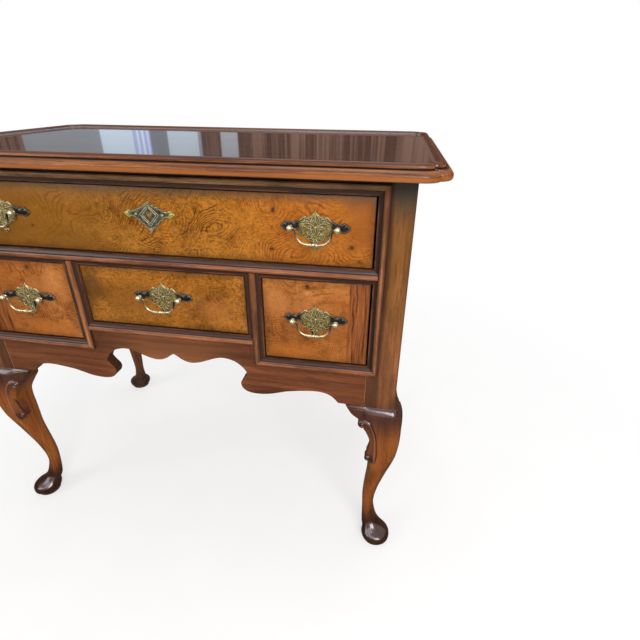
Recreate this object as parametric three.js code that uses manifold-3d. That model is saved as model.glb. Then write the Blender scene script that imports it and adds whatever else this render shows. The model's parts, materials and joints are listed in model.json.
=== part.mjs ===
// A walnut lowboy: a four-drawer dressing table on cabriole legs, with a dished top and brass bail handles.
// Millimetres, +Z up, front facing -Y, origin on the floor under the middle of the top.
import * as THREE from 'three';
import { mergeVertices } from 'three/addons/utils/BufferGeometryUtils.js';
import Module from 'manifold-3d';

const wasm = await Module();
wasm.setup();

// Overall sizes.
const overallHeight = 780;
const topWidth = 898;
const topDepth = 524;
const topThickness = 23;
const sideOverhang = 44;
const frontOverhang = 42;
const backOverhang = 27;

// Case front, from the top down.
const topRailHeight = 26;
const topOpeningHeight = 110;
const middleRailHeight = 24;
const centreOpeningHeight = 110;
const sideOpeningHeight = 150.5;
const apronHeight = 86.5;
const centreOpeningWidth = 294;
const dividerWidth = 26.4;
const postSize = 53;

// Boards and rails of the case.
const railDepth = 45;
const apronThickness = 20;
const sidePanelThickness = 16;
const backPanelThickness = 8;
const sideArchRise = 24;
const backPanelLift = 40;
const dividerDepth = 45;
const partitionWebThickness = 12;
const ledgeWidth = 13;
const ledgeThickness = 14;
const guideHeight = 26;

// Mouldings round the openings.
const coveWidth = 7;
const edgeBeadWidth = 10.5;
const beadProud = 6.5;
const coveLip = 1;
const coveRise = 2.4;

// Gaps: glued joints, sliding drawers and the lines round the drawer fronts.
const glueGap = 0.3;
const slideGap = 0.3;
const frontGap = 1.5;
const outerFrontGap = 2.6;
const frontRecess = 1;
const sideClearance = 0.8;
const overrun = 5;

// Drawers.
const drawerFrontThickness = 20;
const drawerSideThickness = 11;
const drawerBackThickness = 10;
const drawerBottomThickness = 5;
const drawerBackSpace = 31;
const drawerSideDrop = 8;
const drawerBackDrop = 4;
const grooveHeight = 9;
const grooveDepth = 5;
const grooveFit = 0.3;

// Brasses.
const plateThickness = 1.6;
const plateHalfWidth = 54;
const plateRise = 25.5;
const plateFall = 37;
const postSpacing = 70;
const postLift = 2;
const postReach = 18;
const postFootRadius = 6;
const postFootHeight = 3;
const postNeckRadius = 2.8;
const postBallRadius = 4.6;
const bailPinRadius = 1.6;
const bailWireRadius = 2;
const bailPinHoleGap = 0.35;
const bailPinDepth = 4;
const bailLegOffset = 26.5;
const bailDrop = 23.5;
const bailBendRadius = 4;
const bailBeadRadius = 3.3;
const bailCollarRadius = 2.9;
const bailCollarLength = 1.6;
const bailCollarOffset = 4.6;
const topHandleOffset = 262;
const topHandleDrop = 47;
const centreHandleDrop = 46.5;
const sideHandleDrop = 66.5;
const escutcheonHalfWidth = 42.8;
const escutcheonRise = 19;
const escutcheonFall = 31.5;
const escutcheonDrop = 41.5;
const keyholeRadius = 3.4;
const keyholeFall = 8;
const keyholeSlotWidth = 3.6;

// Cabriole legs: the sawn billet, its pad foot and the carved parts.
const footRadius = 29.3;
const footInset = 12.4;
const padDiscHeight = 4.5;
const padDiscRadius = 23.5;
const bracketReach = 34;
const bracketFall = 38;
const bracketProud = 9.5;
const bracketTipProud = 4.6;
const scrollDepth = 6;
const scrollProud = 17;
const scrollRelief = 2;

// Places worked out from the sizes above.
const frontY = -topDepth / 2 + frontOverhang;
const backY = topDepth / 2 - backOverhang;
const caseHalf = topWidth / 2 - sideOverhang;
const caseTop = overallHeight - topThickness;
const openingHalf = caseHalf - postSize;
const topOpeningTop = caseTop - topRailHeight;
const topOpeningBottom = topOpeningTop - topOpeningHeight;
const lowerOpeningTop = topOpeningBottom - middleRailHeight;
const centreOpeningBottom = lowerOpeningTop - centreOpeningHeight;
const sideOpeningBottom = lowerOpeningTop - sideOpeningHeight;
const legTop = sideOpeningBottom - apronHeight;
const centreHalf = centreOpeningWidth / 2;
const dividerOuter = centreHalf + dividerWidth;
const edgeMouldWidth = coveWidth + edgeBeadWidth;
const backPanelFront = backY - backPanelThickness;
const drawerLength = backPanelFront - drawerBackSpace - frontY - frontRecess;

// Colours.
const walnutTop = finish(0x4a2416, 0.28, 0);
const walnutFront = finish(0x9a5a22, 0.4, 0);
const walnutCase = finish(0x6e3c1e, 0.42, 0);
const walnutMoulding = finish(0x5c2f1b, 0.38, 0);
const walnutLeg = finish(0x5b2d19, 0.35, 0);
const secondaryWood = finish(0xb08a5a, 0.75, 0);
const brass = finish(0x8f8147, 0.35, 1);

function finish(color, roughness, metalness) {
  return new THREE.MeshStandardMaterial({ color, roughness, metalness });
}

// Solids.

function solidOf(geometry) {
  const bare = geometry.index ? geometry.toNonIndexed() : geometry.clone();
  bare.deleteAttribute('normal');
  bare.deleteAttribute('uv');
  const merged = mergeVertices(bare, 1e-4);
  return new wasm.Manifold(
    new wasm.Mesh({
      numProp: 3,
      vertProperties: new Float32Array(merged.attributes.position.array),
      triVerts: new Uint32Array(merged.index.array),
    })
  );
}

function geometryOf(solid) {
  const mesh = solid.getMesh();
  const geometry = new THREE.BufferGeometry();
  geometry.setAttribute('position', new THREE.BufferAttribute(new Float32Array(mesh.vertProperties), 3));
  geometry.setIndex(new THREE.BufferAttribute(new Uint32Array(mesh.triVerts), 1));
  const flat = geometry.toNonIndexed();
  flat.computeVertexNormals();
  return flat;
}

function join(...geometries) {
  let solid = solidOf(geometries[0]);
  for (const geometry of geometries.slice(1)) solid = solid.add(solidOf(geometry));
  return geometryOf(solid);
}

function cut(geometry, ...tools) {
  let solid = solidOf(geometry);
  for (const tool of tools) solid = solid.subtract(solidOf(tool));
  return geometryOf(solid);
}

function common(geometry, tool) {
  return geometryOf(solidOf(geometry).intersect(solidOf(tool)));
}

// A box between two corners.
function block(x0, x1, y0, y1, z0, z1) {
  const geometry = new THREE.BoxGeometry(x1 - x0, y1 - y0, z1 - z0);
  geometry.translate((x0 + x1) / 2, (y0 + y1) / 2, (z0 + z1) / 2);
  return geometry;
}

function shapeOf(points) {
  return new THREE.Shape(points.map(([x, y]) => new THREE.Vector2(x, y)));
}

// An outline drawn in X and Z, as seen from the front, standing between two depths.
function frontPrism(shape, y0, y1, curveSegments = 8) {
  const geometry = new THREE.ExtrudeGeometry(shape, { depth: y1 - y0, bevelEnabled: false, curveSegments });
  const ex = new THREE.Vector3(1, 0, 0);
  const ez = new THREE.Vector3(0, 0, 1);
  const back = new THREE.Vector3(0, -1, 0);
  geometry.applyMatrix4(new THREE.Matrix4().makeBasis(ex, ez, back));
  return geometry.translate(0, y1, 0);
}

// An outline drawn in Y and Z, as seen from the side, standing between two widths.
function sidePrism(shape, x0, x1, curveSegments = 8) {
  const geometry = new THREE.ExtrudeGeometry(shape, { depth: x1 - x0, bevelEnabled: false, curveSegments });
  const ey = new THREE.Vector3(0, 1, 0);
  const ez = new THREE.Vector3(0, 0, 1);
  const ex = new THREE.Vector3(1, 0, 0);
  geometry.applyMatrix4(new THREE.Matrix4().makeBasis(ey, ez, ex));
  return geometry.translate(x0, 0, 0);
}

// An outline drawn in X and Y, as seen from above, standing between two heights.
function planPrism(shape, z0, z1) {
  const geometry = new THREE.ExtrudeGeometry(shape, { depth: z1 - z0, bevelEnabled: false });
  return geometry.translate(0, 0, z0);
}

// A closed skin through rings that hold the same number of points, each going the same way round.
function loft(rings) {
  const count = rings[0].length;
  const positions = [];
  const push = (...corners) => corners.forEach((corner) => positions.push(corner.x, corner.y, corner.z));
  for (let level = 0; level + 1 < rings.length; level += 1) {
    for (let index = 0; index < count; index += 1) {
      const next = (index + 1) % count;
      push(rings[level][index], rings[level][next], rings[level + 1][next]);
      push(rings[level][index], rings[level + 1][next], rings[level + 1][index]);
    }
  }
  const close = (ring, reverse) => {
    const flat = ring.map((corner) => new THREE.Vector2(corner.x, corner.y));
    for (const [a, b, c] of THREE.ShapeUtils.triangulateShape(flat, [])) {
      if (reverse) push(ring[a], ring[c], ring[b]);
      else push(ring[a], ring[b], ring[c]);
    }
  };
  close(rings[0], true);
  close(rings[rings.length - 1], false);
  const geometry = new THREE.BufferGeometry();
  geometry.setAttribute('position', new THREE.Float32BufferAttribute(positions, 3));
  return geometry;
}

// The same outline drawn in by a distance, each corner staying a corner.
function inset(points, distance) {
  const area = THREE.ShapeUtils.area(points.map(([x, y]) => new THREE.Vector2(x, y)));
  const turn = Math.sign(area);
  return points.map((point, index) => {
    const before = points[(index + points.length - 1) % points.length];
    const after = points[(index + 1) % points.length];
    const incoming = new THREE.Vector2(point[0] - before[0], point[1] - before[1]).normalize();
    const outgoing = new THREE.Vector2(after[0] - point[0], after[1] - point[1]).normalize();
    const bisector = new THREE.Vector2(-(incoming.y + outgoing.y), incoming.x + outgoing.x).normalize();
    const spread = bisector.dot(new THREE.Vector2(-incoming.y, incoming.x));
    const step = (turn * distance) / spread;
    return [point[0] + bisector.x * step, point[1] + bisector.y * step];
  });
}

function named(name, geometry, material) {
  const mesh = new THREE.Mesh(geometry, material);
  mesh.name = name;
  return mesh;
}

const lowboy = new THREE.Group();
const leftHalf = new THREE.Group();
leftHalf.scale.x = -1;
lowboy.add(leftHalf);

// One piece on the right and its mirror image on the left.
function addPair(name, geometry, material) {
  lowboy.add(named(`${name}_right`, geometry, material));
  leftHalf.add(named(`${name}_left`, geometry, material));
}

// Top: a board with shaped corners, a rounded nosing and a raised rim round a sunk field.

const cornerLength = 44;
const cornerCusp = 18;
const cornerLengthShrinkShare = 0.55;
const cornerCuspShrinkShare = 0.3;
const cornerSteps = 4;
const rimWidth = 30;
const fieldSink = 5.2;

// Each step of the edge: how far in from the outline, as a share of the rim's width, and how high.
const topEdgeShares = [
  [0.15, 0],
  [0.04, 0.07],
  [0, 0.2],
  [0, 0.3],
  [0.05, 0.43],
  [0.17, 0.57],
  [0.35, 0.65],
  [0.38, 0.7],
  [0.43, 0.88],
  [0.54, 1],
];

function topOutline(distance, height) {
  const halfX = topWidth / 2 - distance;
  const halfY = topDepth / 2 - distance;
  const length = cornerLength - cornerLengthShrinkShare * distance;
  const cusp = cornerCusp - cornerCuspShrinkShare * distance;
  const quarter = [];
  for (let step = 0; step <= cornerSteps; step += 1) {
    const angle = (-Math.PI / 2) * (1 - step / cornerSteps);
    const x = halfX - length + (length - cusp) * Math.cos(angle);
    quarter.push([x, -halfY + cusp + cusp * Math.sin(angle)]);
  }
  for (let step = 1; step <= cornerSteps; step += 1) {
    const angle = (-Math.PI / 2) * (1 - step / cornerSteps);
    const y = -halfY + length + (length - cusp) * Math.sin(angle);
    quarter.push([halfX - cusp + cusp * Math.cos(angle), y]);
  }
  const back = quarter.map(([x, y]) => [x, -y]).reverse();
  const right = [...quarter, ...back];
  const left = right.map(([x, y]) => [-x, y]).reverse();
  return [...right, ...left].map(([x, y]) => new THREE.Vector3(x, y, height));
}

function topBoard() {
  const rings = topEdgeShares.map(([acrossShare, upShare]) =>
    topOutline(acrossShare * rimWidth, caseTop + upShare * topThickness)
  );
  const field = overallHeight - fieldSink;
  const crestShares = [0.63, 0.88];
  const coveShares = [0.76, 0.3];
  for (const [acrossShare, upShare] of [crestShares, coveShares]) {
    rings.push(topOutline(acrossShare * rimWidth, field + upShare * fieldSink));
  }
  rings.push(topOutline(rimWidth, field));
  return loft(rings);
}

lowboy.add(named('top_board', topBoard(), walnutTop));

// Mouldings: a cove beside the drawer and a round bead outside it.

// Points across a moulding: distance from the opening's edge, and how far it stands out.
function mouldingSection(beadWidth, bothSides, backFace) {
  const coveSteps = 2;
  const beadSteps = 6;
  const beadFoot = coveLip + coveRise;
  const points = [[0, backFace], [0, coveLip]];
  for (let step = 1; step <= coveSteps; step += 1) {
    const part = step / coveSteps;
    points.push([coveWidth * part, coveLip + coveRise * part * part]);
  }
  for (let step = 1; step < beadSteps; step += 1) {
    const angle = Math.PI * (1 - step / beadSteps);
    const across = coveWidth + (beadWidth / 2) * (1 + Math.cos(angle));
    points.push([across, beadFoot + (beadProud - beadFoot) * Math.sin(angle)]);
  }
  if (!bothSides) {
    points.push([coveWidth + beadWidth, coveLip]);
    points.push([coveWidth + beadWidth, backFace]);
    return points;
  }
  const whole = 2 * coveWidth + beadWidth;
  for (let step = coveSteps; step >= 0; step -= 1) {
    const part = step / coveSteps;
    points.push([whole - coveWidth * part, coveLip + coveRise * part * part]);
  }
  points.push([whole, backFace]);
  return points;
}

// A moulding that runs across, with its opening's edge at the given height; down is where it widens to.
function mouldingAcross(section, x0, x1, edgeZ, direction) {
  const shape = shapeOf(section.map(([across, out]) => [frontY - out, edgeZ + direction * across]));
  return sidePrism(shape, x0, x1);
}

// A moulding that runs upright, widening from its opening's edge.
function mouldingUpright(section, edgeX, z0, z1) {
  const shape = shapeOf(section.map(([across, out]) => [edgeX + across, frontY - out]));
  return planPrism(shape, z0, z1);
}

// What a moulding keeps of its length: its outline from the front, with mitred ends.
function trimmed(moulding, outline) {
  const shape = shapeOf(inset(outline, glueGap / 2));
  return common(moulding, frontPrism(shape, frontY - beadProud - overrun, frontY + overrun));
}

const edgeSection = mouldingSection(edgeBeadWidth, false, glueGap);
const stileTop = topOpeningTop + edgeMouldWidth;
const stileBottom = sideOpeningBottom - edgeMouldWidth;
const stileOuter = openingHalf + edgeMouldWidth;

const topMoulding = trimmed(mouldingAcross(edgeSection, -stileOuter, stileOuter, topOpeningTop, 1), [
  [-openingHalf, topOpeningTop],
  [openingHalf, topOpeningTop],
  [stileOuter, stileTop],
  [-stileOuter, stileTop],
]);
lowboy.add(named('top_moulding', topMoulding, walnutMoulding));

const stileMoulding = trimmed(mouldingUpright(edgeSection, openingHalf, stileBottom, stileTop), [
  [openingHalf, topOpeningTop],
  [openingHalf, topOpeningBottom],
  [openingHalf + coveWidth, topOpeningBottom - coveWidth],
  [openingHalf + coveWidth, lowerOpeningTop + coveWidth],
  [openingHalf, lowerOpeningTop],
  [openingHalf, sideOpeningBottom],
  [stileOuter, stileBottom],
  [stileOuter, stileTop],
]);
addPair('stile_moulding', stileMoulding, walnutMoulding);

const sideBottomMoulding = trimmed(
  mouldingAcross(edgeSection, centreHalf, stileOuter, sideOpeningBottom, -1),
  [
    [dividerOuter, sideOpeningBottom],
    [openingHalf, sideOpeningBottom],
    [stileOuter, stileBottom],
    [centreHalf + coveWidth, stileBottom],
  ]
);
addPair('side_bottom_moulding', sideBottomMoulding, walnutMoulding);

const centreMouldingBottom = centreOpeningBottom - edgeMouldWidth;
const centreBottomMoulding = trimmed(
  mouldingAcross(edgeSection, -centreHalf - coveWidth, centreHalf + coveWidth, centreOpeningBottom, -1),
  [
    [-centreHalf, centreOpeningBottom],
    [centreHalf, centreOpeningBottom],
    [centreHalf + coveWidth, centreOpeningBottom - coveWidth],
    [centreHalf + coveWidth, centreMouldingBottom],
    [-centreHalf - coveWidth, centreMouldingBottom],
    [-centreHalf - coveWidth, centreOpeningBottom - coveWidth],
  ]
);
lowboy.add(named('centre_bottom_moulding', centreBottomMoulding, walnutMoulding));

// Rails and partitions.

const tuck = coveLip / 2;

lowboy.add(
  named(
    'top_rail',
    block(
      -openingHalf + glueGap,
      openingHalf - glueGap,
      frontY,
      frontY + railDepth,
      topOpeningTop,
      caseTop - glueGap
    ),
    walnutCase
  )
);

function middleRail() {
  const beadWidth = middleRailHeight - 2 * coveWidth;
  const section = mouldingSection(beadWidth, true, glueGap);
  const reach = openingHalf + coveWidth;
  const outline = [
    [-openingHalf, topOpeningBottom],
    [openingHalf, topOpeningBottom],
    [reach, topOpeningBottom - coveWidth],
    [reach, lowerOpeningTop + coveWidth],
    [openingHalf, lowerOpeningTop],
    [dividerOuter, lowerOpeningTop],
    [dividerOuter - coveWidth, lowerOpeningTop + coveWidth],
    [centreHalf + coveWidth, lowerOpeningTop + coveWidth],
    [centreHalf, lowerOpeningTop],
    [-centreHalf, lowerOpeningTop],
    [-centreHalf - coveWidth, lowerOpeningTop + coveWidth],
    [-dividerOuter + coveWidth, lowerOpeningTop + coveWidth],
    [-dividerOuter, lowerOpeningTop],
    [-openingHalf, lowerOpeningTop],
    [-reach, lowerOpeningTop + coveWidth],
    [-reach, topOpeningBottom - coveWidth],
  ];
  const face = trimmed(mouldingAcross(section, -reach, reach, topOpeningBottom, -1), outline);
  const web = frontPrism(
    shapeOf(inset([
      [-openingHalf, topOpeningBottom],
      [openingHalf, topOpeningBottom],
      [openingHalf, lowerOpeningTop],
      [dividerOuter, lowerOpeningTop],
      [dividerOuter - coveWidth, lowerOpeningTop + coveWidth],
      [centreHalf + coveWidth, lowerOpeningTop + coveWidth],
      [centreHalf, lowerOpeningTop],
      [-centreHalf, lowerOpeningTop],
      [-centreHalf - coveWidth, lowerOpeningTop + coveWidth],
      [-dividerOuter + coveWidth, lowerOpeningTop + coveWidth],
      [-dividerOuter, lowerOpeningTop],
      [-openingHalf, lowerOpeningTop],
    ], glueGap / 2)),
    frontY - tuck,
    frontY + coveLip
  );
  const board = block(
    -openingHalf + glueGap,
    openingHalf - glueGap,
    frontY,
    frontY + railDepth,
    lowerOpeningTop,
    topOpeningBottom
  );
  const seats = [-1, 1].map((side) => {
    const inner = Math.min(side * centreHalf, side * dividerOuter);
    return block(
      inner,
      inner + dividerWidth,
      frontY - overrun,
      frontY + coveLip,
      lowerOpeningTop - overrun,
      lowerOpeningTop + coveWidth + glueGap
    );
  });
  return join(face, web, cut(board, ...seats));
}
lowboy.add(named('middle_rail', middleRail(), walnutMoulding));

// A partition between the centre drawer and a side drawer: a moulded stile in front, and a thinner web
// behind it with a ledge for each drawer, the centre one higher than the side one.
function partition() {
  const beadWidth = dividerWidth - 2 * coveWidth;
  const section = mouldingSection(beadWidth, true, glueGap);
  const outline = [
    [centreHalf, lowerOpeningTop],
    [centreHalf + coveWidth, lowerOpeningTop + coveWidth],
    [dividerOuter - coveWidth, lowerOpeningTop + coveWidth],
    [dividerOuter, lowerOpeningTop],
    [dividerOuter, sideOpeningBottom],
    [centreHalf + coveWidth, stileBottom],
    [centreHalf + coveWidth, centreOpeningBottom - coveWidth],
    [centreHalf, centreOpeningBottom],
  ];
  const face = trimmed(
    mouldingUpright(section, centreHalf, stileBottom, lowerOpeningTop + coveWidth),
    outline
  );
  const key = block(
    centreHalf + coveWidth + glueGap,
    dividerOuter - coveWidth,
    frontY - tuck,
    frontY + coveLip,
    sideOpeningBottom + glueGap,
    lowerOpeningTop - glueGap
  );
  const stile = block(
    centreHalf,
    dividerOuter,
    frontY,
    frontY + dividerDepth,
    sideOpeningBottom + glueGap,
    lowerOpeningTop - glueGap
  );
  const middle = (centreHalf + dividerOuter) / 2;
  const back = backPanelFront - glueGap;
  const webBottom = sideOpeningBottom - ledgeThickness;
  const web = block(
    middle - partitionWebThickness / 2,
    middle + partitionWebThickness / 2,
    frontY + apronThickness + glueGap,
    back,
    webBottom,
    lowerOpeningTop - glueGap
  );
  const centreLedge = block(
    centreHalf - ledgeWidth,
    middle,
    frontY + apronThickness + glueGap,
    back,
    centreOpeningBottom - ledgeThickness,
    centreOpeningBottom
  );
  const sideLedge = block(
    middle,
    dividerOuter + ledgeWidth,
    frontY + apronThickness + glueGap,
    back,
    webBottom,
    sideOpeningBottom
  );
  const underRail = block(
    centreHalf - overrun,
    dividerOuter + overrun,
    frontY - coveLip,
    frontY + railDepth + glueGap,
    lowerOpeningTop - glueGap,
    lowerOpeningTop + coveWidth
  );
  return join(face, key, cut(join(stile, web, centreLedge, sideLedge), underRail));
}
addPair('partition', partition(), walnutMoulding);

// Apron: one board whose top edge steps up under the centre drawer, with a shaped lower edge.
// Right half of the lower edge, from the middle outwards: across as a share of half the apron's
// length, and up as a share of the apron's height below the side drawers.
const apronCuspShares = [0, 0.83];
const apronLobeShares = [[0.04, 0.71], [0.09, 0.655], [0.135, 0.7], [0.18, 0.77], [0.215, 0.83],
  [0.25, 0.855]];
const apronHookShares = [[0.325, 0.84], [0.35, 0.71], [0.388, 0.5]];
const apronThroatShares = [[0.37, 0.37], [0.354, 0.24], [0.362, 0.13], [0.385, 0.04]];
const apronArchShares = [[0.415, 0.022], [0.478, 0.024], [0.545, 0.09], [0.617, 0.18], [0.717, 0.252],
  [0.784, 0.246], [0.83, 0.17], [0.865, 0.02]];

function apron() {
  const half = openingHalf - glueGap;
  const at = ([acrossShare, upShare]) =>
    new THREE.Vector2(acrossShare * openingHalf, legTop + upShare * apronHeight);
  const right = new THREE.Path();
  right.moveTo(...at(apronCuspShares).toArray());
  for (const run of [apronLobeShares, apronHookShares, apronThroatShares, apronArchShares]) {
    right.splineThru(run.map(at));
  }
  const lower = mergedPoints(right.getPoints(3));
  const topSteps = [
    [half, legTop],
    [half, sideOpeningBottom],
    [centreHalf - glueGap, sideOpeningBottom],
    [centreHalf - glueGap, centreOpeningBottom],
  ];
  const side = [...lower.map((point) => [point.x, point.y]), ...topSteps];
  const mirror = side.slice(1).map(([x, z]) => [-x, z]).reverse();
  return frontPrism(shapeOf([...side, ...mirror]), frontY, frontY + apronThickness);
}

// Points of a path without any that repeat.
function mergedPoints(points) {
  return points.filter((point, index) => index === 0 || point.distanceTo(points[index - 1]) > glueGap);
}
lowboy.add(named('front_apron', apron(), walnutCase));

// Side panels between the posts, with a low arch along the bottom.
function sidePanel() {
  const y0 = frontY + postSize + glueGap;
  const y1 = backY - postSize - glueGap;
  const archSteps = 14;
  const footShare = 0.1;
  const points = [[y1, caseTop - glueGap], [y0, caseTop - glueGap], [y0, legTop]];
  const start = y0 + (y1 - y0) * footShare;
  const span = (y1 - y0) * (1 - 2 * footShare);
  for (let step = 0; step <= archSteps; step += 1) {
    const part = step / archSteps;
    points.push([start + span * part, legTop + sideArchRise * (1 - Math.cos(2 * Math.PI * part)) / 2]);
  }
  points.push([y1, legTop]);
  return sidePrism(shapeOf(points), caseHalf - sidePanelThickness, caseHalf);
}
addPair('side_panel', sidePanel(), walnutCase);

lowboy.add(
  named(
    'back_panel',
    block(
      -openingHalf + glueGap,
      openingHalf - glueGap,
      backPanelFront,
      backY,
      legTop + backPanelLift,
      caseTop - glueGap
    ),
    secondaryWood
  )
);

// Runners at the sides: a ledge under the drawer and a guide beside it, between the posts.
function sideRunner(ledgeTop, frontEnd) {
  const ledgeInner = openingHalf - ledgeWidth;
  const panelFace = caseHalf - sidePanelThickness - glueGap;
  const back = backPanelFront - glueGap;
  const ledge = block(
    ledgeInner,
    openingHalf - glueGap,
    frontEnd + glueGap,
    back,
    ledgeTop - ledgeThickness,
    ledgeTop
  );
  const guide = block(
    openingHalf - glueGap * 2,
    panelFace,
    frontY + postSize + glueGap,
    backY - postSize - glueGap,
    ledgeTop - ledgeThickness,
    ledgeTop
  );
  const fence = block(
    openingHalf,
    panelFace,
    frontY + postSize + glueGap,
    backY - postSize - glueGap,
    ledgeTop - ledgeThickness,
    ledgeTop - ledgeThickness + guideHeight
  );
  return join(ledge, guide, fence);
}
addPair('top_runner', sideRunner(topOpeningBottom, frontY + railDepth), secondaryWood);
addPair('side_runner', sideRunner(sideOpeningBottom, frontY + apronThickness), secondaryWood);

// Legs. Each height has an outer and an inner offset from the case's outer faces, the same seen from the
// front and from the side, then how round its outer, side and inner corners are, and how far the rounding
// of a side corner runs along the face. Heights are shares of the leg below the case, offsets shares of
// the post's size, and roundings shares of half the leg's width.
const legProfileShares = [
  [0.122, -0.205, -0.82, 0.97, 0.97, 0.97, 0.97],
  [0.16, -0.31, -0.83, 0.97, 0.97, 0.97, 0.97],
  [0.222, -0.402, -0.845, 0.97, 0.97, 0.97, 0.97],
  [0.278, -0.39, -0.862, 0.97, 0.97, 0.97, 0.97],
  [0.333, -0.336, -0.86, 0.97, 0.97, 0.95, 0.97],
  [0.403, -0.247, -0.834, 0.94, 0.92, 0.9, 0.92],
  [0.472, -0.14, -0.792, 0.85, 0.8, 0.75, 0.8],
  [0.542, -0.026, -0.757, 0.8, 0.7, 0.6, 0.7],
  [0.611, 0.104, -0.755, 0.8, 0.6, 0.5, 0.62],
  [0.68, 0.219, -0.75, 0.8, 0.5, 0.4, 0.56],
  [0.75, 0.283, -0.735, 0.8, 0.42, 0.3, 0.6],
  [0.805, 0.305, -0.755, 0.75, 0.36, 0.2, 0.7],
  [0.85, 0.311, -0.87, 0.7, 0.3, 0.1, 0.8],
  [0.89, 0.305, -1, 0.64, 0.19, 0.06, 0.9],
  [0.94, 0.27, -1, 0.54, 0.17, 0.05, 0.92],
  [0.975, 0.215, -1, 0.44, 0.19, 0.04, 0.92],
  [1, 0.13, -1, 0.34, 0.13, 0.03, 0.92],
];
// The pad foot: height as a share of the leg, and radius and its centre's inset as shares of the foot's own.
const footShares = [
  [0.024, 0.94, 0.92],
  [0.036, 0.985, 0.95],
  [0.05, 1, 1],
  [0.066, 0.93, 1.1],
  [0.083, 0.77, 1.5],
  [0.1, 0.66, 1.9],
];

function legRing(outer, inner, roundShares, height) {
  const steps = 4;
  const half = (outer - inner) / 2;
  const middle = (outer + inner) / 2;
  const [outerShare, sideShare, innerShare, alongShare] = roundShares;
  const corners = [
    [1, 1, outerShare, outerShare],
    [-1, 1, alongShare, sideShare],
    [-1, -1, innerShare, innerShare],
    [1, -1, sideShare, alongShare],
  ];
  const ring = [];
  corners.forEach(([signX, signY, shareX, shareY], quarter) => {
    for (let step = 0; step <= steps; step += 1) {
      const angle = (Math.PI / 2) * (quarter + step / steps);
      const x = signX * (1 - shareX) + shareX * Math.cos(angle);
      const y = signY * (1 - shareY) + shareY * Math.sin(angle);
      ring.push(new THREE.Vector3(middle + half * x, middle + half * y, height));
    }
  });
  return ring;
}

// A leg in its own frame: X outwards to the side and Y outwards to the front, both from the case's corner.
function legSolid() {
  const roundShares = [0.97, 0.97, 0.97, 0.97];
  const squareShares = [0.04, 0.04, 0.03, 0.04];
  const circle = (radius, offset, height) => legRing(radius - offset, -radius - offset, roundShares, height);
  const rings = [
    circle(padDiscRadius, footInset, 0),
    circle(padDiscRadius, footInset, padDiscHeight),
  ];
  for (const [upShare, radiusShare, insetShare] of footShares) {
    rings.push(circle(radiusShare * footRadius, insetShare * footInset, upShare * legTop));
  }
  for (const [upShare, outerShare, innerShare, ...sectionShares] of legProfileShares) {
    rings.push(legRing(outerShare * postSize, innerShare * postSize, sectionShares, upShare * legTop));
  }
  rings.push(legRing(0, -postSize, squareShares, legTop));
  rings.push(legRing(0, -postSize, squareShares, caseTop - glueGap));
  return loft(rings);
}

// A section seen from the side: how far it stands out at each height, closed behind the case's face.
function standingOut(shares, reach) {
  const profile = shares.map(([upShare, outShare]) => [outShare * reach, upShare * legTop]);
  const top = profile[profile.length - 1][1];
  return shapeOf([[-apronThickness, profile[0][1]], ...profile, [-apronThickness, top]]);
}

// Outline of the carved scroll on the leg's inner edge, across as a share of the post and up as a share
// of the leg: its free edge going down, then its edge on the leg coming up.
const scrollFreeShares = [[-1.13, 0.914], [-1.08, 0.893], [-0.955, 0.883], [-0.862, 0.883], [-0.789, 0.856],
  [-0.736, 0.818], [-0.732, 0.789], [-0.77, 0.753], [-0.826, 0.722], [-0.83, 0.693], [-0.768, 0.664],
  [-0.691, 0.651]];
const scrollLegShares = [[-0.596, 0.633], [-0.5, 0.653], [-0.44, 0.689], [-0.445, 0.754], [-0.483, 0.812],
  [-0.534, 0.865], [-0.653, 0.907], [-0.762, 0.933], [-0.96, 0.942], [-1.09, 0.928]];
const scrollOutShares = [[0.61, 0.36], [0.68, 0.53], [0.75, 0.69], [0.85, 0.81], [0.9, 0.78], [0.94, 0.65],
  [0.97, 0.53]];

function scrollSolid() {
  const place = ([acrossShare, upShare]) => new THREE.Vector3(acrossShare * postSize, 0, upShare * legTop);
  const curve = new THREE.CatmullRomCurve3([...scrollFreeShares, ...scrollLegShares].map(place), true);
  const outline = curve.getPoints(22).slice(0, -1).map((point) => [point.x, point.z]);
  const front = frontPrism(shapeOf(outline), -scrollDepth, postSize);
  const plan = planPrism(
    shapeOf([
      [-postSize - bracketReach, -apronThickness],
      [0, -apronThickness],
      [0, 2 * scrollProud],
      [-postSize, bracketProud + scrollRelief],
      [-postSize - bracketReach, bracketTipProud + scrollRelief],
    ]),
    legTop / 2,
    legTop
  );
  const side = sidePrism(standingOut(scrollOutShares, scrollProud), -postSize - bracketReach, 0);
  return common(common(front, plan), side);
}

// Lower edge of the bracket, from its tip to the post, as shares of its reach and of its fall.
const bracketEdgeShares = [[-1, 0], [-0.876, -0.184], [-0.618, -0.487], [-0.235, -0.72], [0, -1]];
const bracketOutShares = [[0.75, 1], [0.89, 1], [0.94, 0.9], [0.975, 0.62], [1, 0.35]];

// The bracket that carries the knee's curve on under the apron or the side panel.
function bracketSolid() {
  const inner = -postSize - glueGap;
  const top = legTop - glueGap;
  const place = ([acrossShare, upShare]) =>
    new THREE.Vector2(inner + acrossShare * bracketReach, top + upShare * bracketFall);
  const edge = new THREE.Path();
  edge.moveTo(...place(bracketEdgeShares[0]).toArray());
  edge.splineThru(bracketEdgeShares.slice(1).map(place));
  const outline = edge.getPoints(2 * bracketEdgeShares.length).map((point) => [point.x, point.y]);
  const front = frontPrism(shapeOf([...outline, [inner, top]]), -apronThickness, postSize);
  const plan = planPrism(
    shapeOf([
      [inner, -apronThickness],
      [inner, bracketProud],
      [inner - bracketReach, bracketTipProud],
      [inner - bracketReach, -apronThickness],
    ]),
    legTop / 2,
    legTop
  );
  const side = sidePrism(standingOut(bracketOutShares, bracketProud), -postSize - 2 * bracketReach, 0);
  return common(common(front, plan), side);
}

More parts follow.
